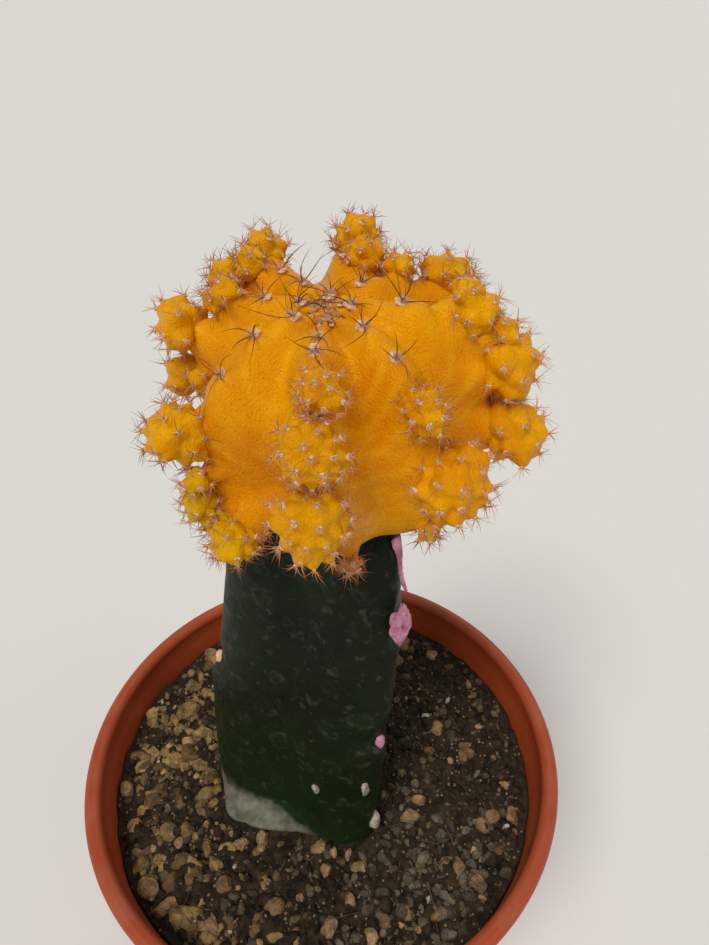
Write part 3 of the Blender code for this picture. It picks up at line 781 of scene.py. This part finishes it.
def scatter(name, finish, slot, count, smallest, largest, sink, level, roughness, where):
    """Strew loose stones or crumbs over the soil as one piece."""
    chance = np.random.default_rng(SEED + sum(map(ord, name)))
    template, faces = ball(level)
    low, high = smallest * MM, largest * MM
    x, y = open_soil_points(chance, count, inner_radius(SOIL_HIGH) - high, where)
    radius = low + (high - low) * chance.random(len(x)) ** 2.2
    places = triples(x, y, soil_height(x, y) - sink * radius)
    points = places[:, None] + stone_points(template, chance, len(x), roughness) * radius[:, None, None]
    grains = Bundle()
    grains.add(points, faces, chance.random(len(x)))
    grains.to_piece(name, finish, slot)


def make_small_stones():
    """The smaller stones whose places are known."""
    chance = np.random.default_rng(SEED + 3)
    template, faces = ball(4)
    stones = Bundle()
    for x, y, radius, tone in np.array(SMALL_STONES) * (MM, MM, MM, 1):
        place_at = triples(x, y, soil_height(x, y) + 0.3 * radius)
        stones.add(stone_points(template, chance, 1, 0.06) * radius + place_at, faces, tone)
    stones.to_piece("small_stones", PUMICE, "grain")


def make_large_stones():
    """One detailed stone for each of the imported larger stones."""
    chance = np.random.default_rng(SEED)
    template, faces = ball(5)
    for number, node in enumerate(nodes_named("grain_")):
        shape = stone_points(template, chance, 1, 0.05)[0]
        shape = shape * (1 + 0.05 * ripple(template, 0.35, number))[:, None]
        shape = shape / np.ptp(shape, axis=0) * extent(node)
        stones = Bundle()
        stones.add(shape + middle(node), faces, chance.uniform(0.35, 1.0))
        stones.to_piece(f"stone_{number + 1:02d}", PUMICE, "grain", node)


def make_peat_fibres():
    """Short brown fibres that lie on the peat."""
    chance = np.random.default_rng(SEED + 5)
    x, y = open_soil_points(chance, FIBRES, inner_radius(SOIL_HIGH) - 4 * MM)
    count = len(x)
    roots = triples(x, y, soil_height(x, y) + 0.15 * MM)
    turns = chance.uniform(0, 2 * math.pi, count)
    headings = unit(triples(np.cos(turns), np.sin(turns), chance.uniform(0.0, 0.25, count)))
    bends = chance.normal(0, 0.25, (count, 3)) * (1, 1, 0.3) - 0.12 * UP
    fibres = Bundle()
    fibres.add_thorns(roots, headings, bends, chance.uniform(1.5, 5.0, count) * MM,
                      chance.uniform(0.05, 0.14, count) * MM, 5, 6, chance.random(count))
    fibres.to_piece("peat_fibres", GRIT, "soil")


def make_soil():
    """The soil with everything that lies loose on it."""
    make_soil_bed()
    make_large_stones()
    make_small_stones()
    for row in LOOSE_GRAINS:
        scatter(*row)
    make_peat_fibres()


# ---- rootstock

STEM_Y = -1.1 * MM
STEM_RIBS = (-179, -49, 63)
STEM_SHARPNESS = 0.65
FACE_SHARE = 0.57
STEM_STATIONS = (          # height, middle x and rib radius in mm
    (24, -1.2, 6.0), (30, -1.9, 11.0), (42, -2.6, 15.8), (56, -2.8, 17.8), (70, -2.7, 18.0),
    (90, -1.7, 17.9), (106, 0.1, 16.9), (122, 1.8, 15.8), (134, 2.1, 14.6),
    (137.6, 2.1, 13.9), (139.2, 2.1, 12.2))
STEM_LOW = 24 * MM
FLARE = 5.2 * MM           # how far the corky foot spreads over the soil at the front left
FLARE_AZIMUTH = -144
FLARE_WIDTHS = (17, 50)    # degrees over which it fades, towards the left rib and along the front
FLARE_TOP = SOIL_HIGH + 4 * MM
CORK_AZIMUTH = -130        # the cork covers the flare and thins out along the front face
CORK_HALF_ANGLE = 54
NOTCH_ANGLE = 16
SCAB_HALF_SIZE = (0.9 * MM, 1.9 * MM, 4.3 * MM)   # outward, along the face and up
PEEL_STEPS = 60
PEEL_SIDES = 16
STEM_COLUMNS = 216
STEM_RINGS = 300
STEM_AREOLES = (           # heights in mm, for each rib
    (102.5,), (97, 124), (86, 110.5, 133))
STUCK_PERLITE = ((-55, 85.5, 2.0), (-84, 82.5, 1.4), (-46, 72.0, 2.5))   # azimuth, height and size in mm
ROOTS = 9


def rib_wave(azimuth, ribs):
    """0 on a rib's crest and 1 midway between two ribs, for azimuths in degrees."""
    crests = np.sort(np.array(ribs, dtype=float) % 360)
    crests = np.append(crests, crests[0] + 360)
    turned = (np.asarray(azimuth, dtype=float) - crests[0]) % 360 + crests[0]
    phase = np.interp(turned, crests, np.arange(len(crests)))
    return (1 - np.cos(2 * math.pi * phase)) / 2


def stem_station(height, column):
    """A value of the stem's stations at heights, eased between them."""
    heights, values = np.array(STEM_STATIONS)[:, (0, column)].T * MM
    heights_near = np.asarray(height)[..., None] + np.linspace(-1.5, 1.5, 7) * MM
    return np.interp(heights_near, heights, values).mean(axis=-1)


def stem_middle(height):
    """X of the stem's middle at a height."""
    return stem_station(height, 1)


def stem_axis(height):
    """Point in the stem's middle at a height."""
    return triples(stem_middle(height), STEM_Y, height)


def stem_reach(azimuth, height):
    """Distance from the stem's middle to its skin."""
    hollow = rib_wave(azimuth, STEM_RIBS) ** STEM_SHARPNESS
    return stem_station(height, 2) * (1 - (1 - FACE_SHARE) * hollow)


def stem_point(azimuth, height, outward=0.0):
    """World points of the stem's skin, or outside it."""
    reach = stem_reach(azimuth, height) + outward
    turn = np.radians(azimuth)
    return triples(stem_middle(height) + reach * np.cos(turn), STEM_Y + reach * np.sin(turn), height)


def angle_off(azimuths, centre):
    """Signed degrees from a centre azimuth to others."""
    return (azimuths - centre + 180) % 360 - 180


def foot_flare(azimuths):
    """How far the corky foot spreads outward on the soil."""
    beside = angle_off(azimuths, FLARE_AZIMUTH)
    return FLARE * bell(beside, np.where(beside < 0, *FLARE_WIDTHS))


def stem_notches(azimuths, heights):
    """Notches above the areoles on the rib crests, and below 0 where the crest swells under them."""
    notches = np.zeros((len(heights), len(azimuths)))
    for rib, marks in zip(STEM_RIBS, STEM_AREOLES):
        near = bell(angle_off(azimuths, rib), NOTCH_ANGLE)
        for mark in np.array(marks) * MM:
            notches += near * bell(heights - mark - 1.2 * MM, 2.6 * MM)
            notches -= 0.7 * near * bell(heights - mark + 3.5 * MM, 4 * MM)
    crest = 1 - rib_wave(azimuths, STEM_RIBS)
    return notches * crest ** 2


def make_stem():
    """The three-angled stem: notched rib crests, shallow dents, a flared foot and a flat cut top."""
    azimuths = 360 * np.arange(STEM_COLUMNS) / STEM_COLUMNS + STEM_RIBS[0]
    heights = np.append(np.linspace(STEM_LOW, STOCK_TOP - 0.9 * MM, STEM_RINGS), STOCK_TOP)[:, None]
    skin = stem_point(azimuths, heights)
    swell = 0.25 * MM * ripple(skin, 11 * MM, 3) + 0.04 * MM * ripple(skin, 4 * MM, 4)
    swell -= 0.9 * MM * stem_notches(azimuths, heights)
    swell[-1] = 0
    below = 1 - ramp(heights, SOIL_HIGH, FLARE_TOP - SOIL_HIGH)
    buried = ramp(heights, SOIL_LOW, SOIL_HIGH - SOIL_LOW)
    swell = swell + foot_flare(azimuths) * below ** 1.3 * buried
    rings = skin + unit(skin - stem_axis(heights)) * swell[..., None]
    beside = angle_off(azimuths, CORK_AZIMUTH) / CORK_HALF_ANGLE
    start = 0.8 * np.clip(beside, 0, 1)
    scar = np.clip(1.3 - beside ** 4, 0, 1) * np.clip(2.0 * (below - start), 0, 1)
    ends = (stem_axis(STEM_LOW) - MM * UP, stem_axis(STOCK_TOP))
    lofted_piece("stem", rings, ends, STEM_SKIN, "stock_skin", "rootstock", scar=np.append(scar, (0.0, 0.0)))


def make_roots():
    """Main roots of the buried foot, each a wavy tapering tube."""
    chance = np.random.default_rng(SEED + 8)
    turns = 2 * math.pi * (np.arange(ROOTS) + chance.uniform(0, 0.5, ROOTS)) / ROOTS
    starts = triples(stem_middle(28 * MM) + 5 * MM * np.cos(turns), STEM_Y + 5 * MM * np.sin(turns),
                     chance.uniform(27, 33, ROOTS) * MM)
    headings = unit(triples(np.cos(turns), np.sin(turns), -0.3))
    roots = Bundle()
    roots.add_thorns(starts, headings, chance.normal(0, 0.2, (ROOTS, 3)), chance.uniform(14, 20, ROOTS) * MM,
                     chance.uniform(0.9, 1.5, ROOTS) * MM, 10, 16, chance.random(ROOTS))
    roots.to_piece("roots", GRIT, "stock_skin")


def make_rib_scab():
    """The pink corky scab on the right rib: a kite with a dark pit above its middle."""
    template, faces = ball(5)
    centre = middle("rib_scab")
    out = unit((centre - stem_axis(centre[2])) * (1, 1, 0))
    steep = (1 - np.abs(template[:, 2])) ** 0.35
    local = template * triples(steep, steep, 1.0)
    local = local * (1 + 0.10 * ripple(template, 0.8, 5) + 0.05 * ripple(template, 0.3, 6))[:, None]
    pit = bell(angle_between(template, unit((1.0, -0.25, 0.16))), 12)
    local = local * (1 - 0.25 * pit)[:, None] * SCAB_HALF_SIZE
    shape = local @ np.array((out, np.cross(UP, out), UP))
    scab = Bundle()
    scab.add(shape + centre - out * 0.5 * MM, faces, pit)
    scab.to_piece("rib_cork", DRIED, "scab", "rib_scab")


def make_graft_peel():
    """The dried strip that hangs from the union: thin, curled and ragged."""
    chance = np.random.default_rng(SEED + 9)
    low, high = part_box("graft_peel")
    azimuth = float(STEM_RIBS[1])
    out = direction(math.radians(azimuth))
    along = direction(math.radians(azimuth + 90))
    angles = circle(PEEL_SIDES)
    rings = []
    for share in np.arange(PEEL_STEPS + 1) / PEEL_STEPS:
        height = high.z - (high.z - low.z) * share
        crest = stem_point(azimuth, min(height, STOCK_TOP - 2 * MM))
        crest[2] = height
        half_width = (0.85 - 0.75 * share ** 0.8 + 0.10 * math.sin(9 * share) + 0.03 * chance.normal()) * MM
        sway = 0.35 * MM * math.sin(5 * share + 0.5)
        centre = crest + out * (0.25 + 1.5 * share * share) * MM + along * sway
        curl = 0.35 * MM * np.cos(angles) ** 2 * (0.4 + share)
        rings.append(centre + along * (half_width * np.cos(angles))[:, None]
                     + out * (0.17 * MM * np.sin(angles) + curl)[:, None])
    ends = (rings[0].mean(axis=0) + 0.1 * MM * UP, rings[-1].mean(axis=0) - 0.5 * MM * UP)
    tones = np.full(len(rings) * PEEL_SIDES + len(ends), 0.2)
    lofted_piece("graft_peel_strip", rings, ends, DRIED, "scab", "graft_peel", tone=tones)


def make_stem_areoles():
    """Worn oval areoles along the stem's ribs: woolly on two of them and pink on the right one."""
    template, faces = ball(4)
    for rib, azimuth in enumerate(STEM_RIBS):
        pads = Bundle()
        for height in np.array(STEM_AREOLES[rib]) * MM:
            felt = template * (1 + 0.12 * ripple(template, 0.7, int(height / MM)))[:, None]
            pads.add(stem_point(azimuth, height, -0.6 * MM) + felt * (0.9, 0.9, 1.5) * MM, faces, 0.0)
        finish = DRIED if azimuth == STEM_RIBS[1] else WOOL
        pads.to_piece(f"stem_areoles_{rib + 1}", finish, "areole_wool")


def make_stuck_perlite():
    """Pale bits of perlite that cling to the front face near its foot."""
    template, faces = ball(4)
    chance = np.random.default_rng(SEED + 14)
    bits = Bundle()
    for azimuth, height, size in STUCK_PERLITE:
        shape = stone_points(template, chance, 1, 0.05) * (0.65, 0.65, 1.0) * size * MM
        bits.add(shape + stem_point(azimuth, height * MM), faces, 0.4)
    bits.to_piece("stuck_perlite", PERLITE, "grain")


# ---- scion

LEAN_FRONT = 9
LEAN_LEFT = 5
CENTRE_RISE = 13.1 * MM    # height of the scion's centre above its base
SCION_RADIUS = 17.9 * MM
CROWN_HEIGHT = 16.6 * MM
BELLY_HEIGHT = 15.0 * MM
SQUARENESS = 2.25          # above the scion's middle
BELLY_SQUARENESS = 3.1     # below it
RIB_DEPTH = 0.19
RIB_SHARPNESS = 1.4
FURROW_FADE = (95, 130)    # degrees down between which the furrows grow shallow
DIMPLE_DEPTH = 3.4 * MM
DIMPLE_ANGLE = 24
RIB_AZIMUTHS = (-94, -52, -10, 33, 77, 124, 171, 216)
SCION_SAG = 0.9 * MM       # how far the flesh hangs over the top of the stem
CHIN_HEIGHT = 1.4 * MM     # the chin that bulges just below each areole
CHIN_ANGLE = 10.0
CHIN_DROP = 0.13           # how far below, as a share of the way from the centre
CREASE_DEPTH = 0.6 * MM    # the cross crease just above each areole
CREASE_ANGLE = 6.0
CREASE_RISE = 0.17
BAND_HEIGHT = 0.17 * MM
BAND_SPACING = 12.0        # degrees from one fold to the next
BUDS = (                   # side, azimuth, degrees down, radius and height above the skin in mm
    ("right", 24, 58, 2.2, 3.8), ("right", 14, 62, 1.8, 2.0), ("right", 0, 47, 2.0, 5.0),
    ("right", -6, 62, 1.8, 5.2), ("right", 2, 92, 2.4, 3.2), ("back", 62, 34, 2.5, 2.8),
    ("back_left", 136, 40, 2.3, 3.8),
    ("left", 172, 34, 1.9, 3.4), ("left", -177, 70, 1.9, 0.7), ("left", -165, 66, 1.5, 0.6),
    ("front_left", -142, 88, 1.7, 3.0), ("front_left", -140, 106, 2.2, 2.8),
    ("front_left", -130, 115, 1.9, 1.6), ("front_left", -136, 114, 1.9, 4.2))
SCION_COLUMNS = 360
SCION_ROWS = 190
SCION_CENTRE = np.array((*middle("scion")[:2], SCION_LOW + CENTRE_RISE))


def scion_axes():
    """The scion's own axes as rows: two across and its growing direction last."""
    across = -math.sin(math.radians(LEAN_LEFT))
    front = -math.sin(math.radians(LEAN_FRONT))
    up = np.array((across, front, math.sqrt(1 - across * across - front * front)))
    second = unit(np.cross(up, (1.0, 0.0, 0.0)))
    return np.array((np.cross(second, up), second, up))


AXES = scion_axes()


def own_angles(directions):
    """Azimuth and degrees down from the crown, of unit directions in the scion's own axes."""
    azimuth = np.degrees(np.arctan2(directions[..., 1], directions[..., 0]))
    return azimuth, np.degrees(np.arccos(np.clip(directions[..., 2], -1, 1)))


def scion_reach(directions):
    """Distance from the scion's centre to its skin, along unit directions in its own axes."""
    upward = directions[..., 2]
    level = np.sqrt(np.maximum(0, 1 - upward * upward))
    height = np.where(upward > 0, CROWN_HEIGHT, BELLY_HEIGHT)
    power = np.where(upward > 0, SQUARENESS, BELLY_SQUARENESS)
    reach = ((level / SCION_RADIUS) ** power + (np.abs(upward) / height) ** power) ** (-1 / power)
    azimuth, down = own_angles(directions)
    furrow = rib_wave(azimuth, RIB_AZIMUTHS) ** RIB_SHARPNESS
    depth = RIB_DEPTH * np.interp(down, FURROW_FADE, (1.0, 0.3)) * level ** 0.8
    return reach * (1 - depth * furrow) - DIMPLE_DEPTH * bell(down, DIMPLE_ANGLE)


def own_direction(point):
    """Direction of a world point from the scion's centre, in the scion's own axes."""
    return unit((point - SCION_CENTRE) @ AXES.T)


AREOLE_SPOTS = [own_direction(typical_point(node)) for node in nodes_named("areole_")]


def plan_pups():
    """Name, node, centre and radius of every pup, and of the buds that crowd round some of them."""
    plan = [(node, node, middle(node), float(np.sort(extent(node))[1:].mean()) / 2)
            for node in nodes_named("pup_")]
    for number, (side, azimuth, down, radius, height) in enumerate(BUDS):
        spot = direction(math.radians(azimuth), math.radians(down))
        reach = scion_reach(spot) + height * MM
        plan.append((f"bud_{side}_{number + 1}", None, SCION_CENTRE + reach * spot @ AXES, radius * MM))
    return plan


PUP_PLAN = plan_pups()


def bands(directions):
    """Soft folds that cross the flanks of the ribs, from 0 to 1."""
    azimuth, down = own_angles(directions)
    flank = rib_wave(azimuth, RIB_AZIMUTHS)
    sway = 15 * flank + 4 * ripple(directions, 0.9, 23)
    folds = (0.5 + 0.5 * np.sin(np.radians((down - sway) * 360 / BAND_SPACING))) ** 2.5
    shoulder = np.clip(3 * flank, 0, 1) * (1 - 0.6 * flank)
    broken = np.clip(0.45 + 0.9 * ripple(directions, 0.8, 24), 0, 1)
    return folds * shoulder * broken * bell(down - 70, 34, 4)


def scion_skin(directions):
    """World points of the scion's skin with its swellings, bands and slight unevenness."""
    reach = scion_reach(directions)
    for spot in AREOLE_SPOTS:
        chin = angle_between(directions, unit(spot - CHIN_DROP * UP))
        crease = angle_between(directions, unit(spot + CREASE_RISE * UP))
        reach = reach + CHIN_HEIGHT * bell(chin, CHIN_ANGLE) - CREASE_DEPTH * bell(crease, CREASE_ANGLE)
    for _, _, centre, radius in PUP_PLAN:
        spot = own_direction(centre)
        distance = float(np.linalg.norm(centre - SCION_CENTRE))
        rise = max(0.0, distance - 0.1 * radius - float(scion_reach(spot)))
        width = 0.85 * math.degrees(radius / distance)
        reach = reach + rise * bell(angle_between(directions, spot), width, 2.6)
    reach = reach + BAND_HEIGHT * bands(directions)
    reach = reach + 0.22 * MM * ripple(directions, 0.8, 21) + 0.06 * MM * ripple(directions, 0.22, 22)
    return SCION_CENTRE + (directions * reach[..., None]) @ AXES


def make_scion():
    """The ribbed globe, cut flat on the rootstock."""
    falls = math.pi * np.arange(1, SCION_ROWS)[:, None] / SCION_ROWS
    globe = direction(circle(SCION_COLUMNS), falls)
    offsets = scion_skin(globe) - SCION_CENTRE
    drop = STOCK_TOP - SCION_SAG - SCION_CENTRE[2]
    below = offsets[..., 2] < drop
    offsets[below] *= (drop / offsets[below][:, 2])[:, None]
    ends = (scion_skin(UP), SCION_CENTRE + AXES[2] * drop / AXES[2][2])
    pale = np.append(bands(globe), (0.0, 0.0))
    lofted_piece("scion_globe", SCION_CENTRE + offsets, ends, SCION_FLESH, "scion_skin", "scion",
                 pale=pale, tone=np.zeros(len(pale)))


# ---- areoles and spines

WOOL_TONE = 0.3
HAIR_WIDTH = 0.028 * MM
CROWN_AREOLES = 11
CROWN_GROWTH = np.array((1.0, 0.3, 0.0))


def wool_points(template, places, normals, growth, radii, chance):
    """Small felted pads on a skin, longer along the growth than across it."""
    first = unit(growth - normals * (normals @ growth)[:, None])
    second = np.cross(normals, first)
    shapes = np.empty((len(places), len(template), 3))
    for number, axes in enumerate(np.stack((first, second, normals), axis=1)):
        lumps = 1 + 0.25 * ripple(template, 0.8, int(chance.integers(1, LARGEST_SEED)))
        local = template * lumps[:, None] * (1.25, chance.uniform(0.65, 0.95), 0.42)
        shapes[number] = places[number] + radii[number] * (local @ axes)
    return shapes


def make_wool(name, places, normals, growth, radii, chance, level, hairs, length, *nodes, tones=None):
    """Wool pads with short fine hairs. Tones are a range to draw from."""
    template, faces = ball(level)
    wool = Bundle()
    pads = wool_points(template, places, normals, growth, radii, chance)
    wool.add(pads, faces, chance.uniform(*tones, len(places)) if tones else WOOL_TONE)
    count = len(places) * hairs
    out = np.repeat(normals, hairs, axis=0)
    headings = unit(out * 0.75 + unit(chance.normal(size=(count, 3))) * 0.8)
    roots = np.repeat(places, hairs, axis=0) + headings * (np.repeat(radii, hairs) * 0.55)[:, None]
    wool.add_thorns(roots, headings, chance.normal(0, 0.45, (count, 3)),
                    length * chance.uniform(0.5, 1.2, count), np.full(count, HAIR_WIDTH), 3, 3,
                    chance.uniform(0.3, 1.0, count))
    wool.to_piece(name, WOOL, "areole_wool", *nodes)


def add_spines(thorns, places, normals, chance, per_areole, length, width, curl, lie, tone):
    """Curved spines that spread from areoles. lie is how flat they start, from 0 to 1."""
    count = len(places) * per_areole
    out = np.repeat(normals, per_areole, axis=0)
    first, second = square_axes(out)
    turns = np.tile(circle(per_areole), len(places)) + chance.uniform(-0.5, 0.5, count)
    aside = first * np.cos(turns)[:, None] + second * np.sin(turns)[:, None]
    flat = (lie * chance.uniform(0.75, 1.2, count))[:, None]
    headings = unit(aside * flat + out * (1.15 - flat))
    sag = chance.uniform(-1.0, 1.0, count)[:, None]
    twist = np.cross(out, aside) * chance.normal(0, 0.6, count)[:, None]
    bends = curl * (-out * (0.25 + 0.3 * sag) - aside * 0.15 * sag + twist)
    thorns.add_thorns(np.repeat(places, per_areole, axis=0), headings, bends,
                      length * chance.uniform(0.6, 1.15, count), width * chance.uniform(0.8, 1.15, count),
                      5, 7, rising_tones(tone * chance.uniform(0.5, 1.3, count), 5, 7))


def make_spines(name, places, normals, chance, *kinds):
    """Spines of some kinds. A kind is how many per areole, length, width, curl, lie and tone."""
    thorns = Bundle()
    for kind in kinds:
        add_spines(thorns, places, normals, chance, *kind)
    thorns.to_piece(name, SPINE, "areole_wool")


def make_crown(chance):
    """The growing point: a ring of tiny young areoles with crowded wool and short curly spines."""
    steps = np.arange(CROWN_AREOLES)
    falls = np.radians(1.5 + 7.5 * np.sqrt(steps / CROWN_AREOLES))
    places = scion_skin(direction(steps * GOLDEN_ANGLE, falls))
    normals = unit(AXES[2] + 0.25 * unit(places - SCION_CENTRE))
    radii = chance.uniform(0.35, 0.6, CROWN_AREOLES) * MM
    make_wool("crown_wool", places, normals, CROWN_GROWTH, radii, chance, 3, 50, 0.6 * MM)
    make_spines("crown_spines", places, normals, chance, (4, 2.3 * MM, 0.07 * MM, 1.1, 0.6, 0.7))


def make_scion_areoles():
    """Wool pads with long brown spines on the ribs, and crowded small ones in the crown."""
    chance = np.random.default_rng(SEED + 20)
    for node, spot in zip(nodes_named("areole_"), AREOLE_SPOTS):
        places = scion_skin(spot)[None]
        normals = unit(places - SCION_CENTRE)
        radii = chance.uniform(0.62, 0.85, 1) * MM
        make_wool(f"wool_{node}", places, normals, AXES[2], radii, chance, 4, 110, 0.6 * MM, node)
        make_spines(f"spines_{node}", places + normals * 0.1 * MM, normals, chance,
                    (4, 4.6 * MM, 0.085 * MM, 0.85, 0.62, 0.62), (2, 3.2 * MM, 0.075 * MM, 0.9, 0.35, 0.55))
    make_crown(chance)


# ---- pups

# Knobs on a large pup, by the side of the scion that it grows on.
KNOBS = {"front": 34, "front_right": 30, "right": 20, "back_right": 26, "back": 30, "back_left": 26,
         "left": 18, "front_left": 26}
FEWEST_KNOBS = 9
LARGE_PUP = 4.0 * MM
LOBES = 5
KNOB_REACH = 125           # degrees from a pup's tip to its last knobs
TINTS = {"front_left": 0.7, "left": 0.2, "back_left": 0.2, "front": 0.2}   # 0 orange, 1 greenish
OWN_TINTS = {"pup_front_left_1": 0.2, "pup_front_4": 1.9, "pup_front_right_3": 1.4}   # 2 is pink


def knob_directions(count, growth, chance):
    """Directions of the knobs: a spiral about the growth that is closer at the tip."""
    shares = (np.arange(count) + 0.6) / count
    falls = np.radians(KNOB_REACH) * shares ** 0.6
    turns = chance.uniform(0, 6) + np.arange(count) * GOLDEN_ANGLE
    spiral = direction(turns, falls) @ np.array((*square_axes(growth), growth))
    return unit(spiral + chance.normal(0, 0.07, (count, 3)))


def peaks(directions, tips, width, power):
    """Highest of several round peaks, from 0 to 1. The width is in degrees."""
    height = np.zeros(len(directions))
    for tip in tips:
        height = np.maximum(height, bell(angle_between(directions, tip), width, power))
    return height


def pup_reach(directions, radius, knobs, lobes, seed):
    """Reach of a pup's skin: a few round lobes with pointed knobs all over them."""
    spacing = math.degrees(math.sqrt(9.9 / len(knobs)))
    swell = peaks(directions, lobes, 36, 2.2)
    rise = peaks(directions, knobs, 0.52 * spacing, 1.45)
    uneven = 0.04 * ripple(directions, 0.7, seed)
    return radius * (0.68 + 0.26 * swell + 0.25 * rise + uneven)


def make_pup(name, node, centre, radius, seed):
    """One pup with its areoles: a knobbly young globe. Its name says the side that it grows on."""
    chance = np.random.default_rng(seed)
    growth = unit(centre - SCION_CENTRE)
    side = name[4:name.rindex("_")]
    count = max(FEWEST_KNOBS, round(KNOBS[side] * min(1.1, radius / LARGE_PUP)))
    knobs = knob_directions(count, growth, chance)
    lobes = unit(chance.normal(size=(LOBES, 3)) + 0.6 * growth)
    template, faces = ball(6)
    skin = centre + template * pup_reach(template, radius, knobs, lobes, seed)[:, None]
    tint = np.clip(TINTS.get(side, 0.1) + chance.normal(0, 0.08), 0, 1)
    flesh = Bundle()
    flesh.add(skin, faces, OWN_TINTS.get(name, tint))
    flesh.to_piece(f"flesh_{name}", PUP_FLESH, "pup_skin", *([node] if node else []))

    places = centre + knobs * (pup_reach(knobs, radius, knobs, lobes, seed) - 0.03 * MM)[:, None]
    normals = unit(knobs + 0.35 * growth)
    radii = chance.uniform(0.24, 0.38, count) * MM
    make_wool(f"wool_{name}", places, normals, growth, radii, chance, 3, 16, 0.45 * MM, tones=(0.1, 0.5))
    make_spines(f"spines_{name}", places, normals, chance,
                (7, 2.2 * MM, 0.050 * MM, 0.55, 0.60, chance.uniform(0.1, 0.4)))


def make_pups():
    """Every pup and bud."""
    for number, row in enumerate(PUP_PLAN):
        make_pup(*row, SEED + 100 + number)


# ---- floor, light and view

FLOOR_HALF = 40.0
LAMPS = (                  # name, azimuth, elevation and width in degrees, strength and colour
    ("key", -120, 55, 22, 1.9, (1.0, 0.97, 0.92)), ("fill", -30, 35, 50, 0.35, (1.0, 0.98, 0.96)),
    ("back", 70, 45, 40, 0.5, (1.0, 0.98, 0.95)))
ROOM_COLOUR = (0.90, 0.89, 0.88, 1)
ROOM_STRENGTHS = (0.60, 0.26)   # at the horizon and 30 degrees up
LENS = 26.67
CAMERA_AT = (6.1 * MM, -80.0 * MM, POT_HEIGHT + 123.1 * MM)
CAMERA_TILT = 53.9


def make_floor():
    """A wide pale floor under the pot, matt with the faintest mottle."""
    look = Finish("pale_floor", Roughness=0.8, Specular_IOR_Level=0.2)
    look.colour = look.blend(look.patches(1.5, 0.0, 0.2, 0.8), (0.765, 0.755, 0.735), (0.775, 0.765, 0.745))
    mesh = bpy.data.meshes.new("floor")
    corners = [(x * FLOOR_HALF, y * FLOOR_HALF, 0) for x, y in ((-1, -1), (1, -1), (1, 1), (-1, 1))]
    mesh.from_pydata(corners, [], [(0, 1, 2, 3)])
    finished_object("floor", mesh, look.done())


def make_lamp(name, azimuth, elevation, softness, strength, colour):
    """A far soft light, at an azimuth and an elevation in degrees, with its width in degrees."""
    lamp = bpy.data.lights.new(name, "SUN")
    lamp.angle = math.radians(softness)
    lamp.energy = strength
    lamp.color = colour
    towards = Vector(direction(math.radians(azimuth), math.radians(90 - elevation)))
    set_up(name, lamp).rotation_euler = towards.to_track_quat("Z", "Y").to_euler()


def make_light():
    """Soft studio light: a key from the upper front left, a fill, a back light and a pale room."""
    for row in LAMPS:
        make_lamp(*row)
    world = bpy.data.worlds.new("room")
    world.use_nodes = True
    look = Look(world.node_tree)
    background = look.tree.nodes["Background"]
    background.inputs["Color"].default_value = ROOM_COLOUR
    upward = look.height_of(look.place("TexCoord").outputs["Generated"])
    look.tree.links.new(look.spread(upward, 0.0, 0.5, *ROOM_STRENGTHS), background.inputs["Strength"])
    bpy.context.scene.world = world
    bpy.context.scene.view_settings.view_transform = "Standard"


def make_camera():
    """The camera above the plant's front, looking down on it."""
    camera = bpy.data.cameras.new("camera")
    camera.lens = LENS
    camera.clip_start = 0.005
    thing = set_up("camera", camera)
    thing.location = CAMERA_AT
    thing.rotation_euler = (math.radians(CAMERA_TILT), 0, 0)
    bpy.context.scene.camera = thing


make_camera()
make_pot()
make_soil()
make_stem()
make_roots()
make_rib_scab()
make_graft_peel()
make_stem_areoles()
make_stuck_perlite()
make_scion()
make_scion_areoles()
make_pups()
make_floor()
make_light()
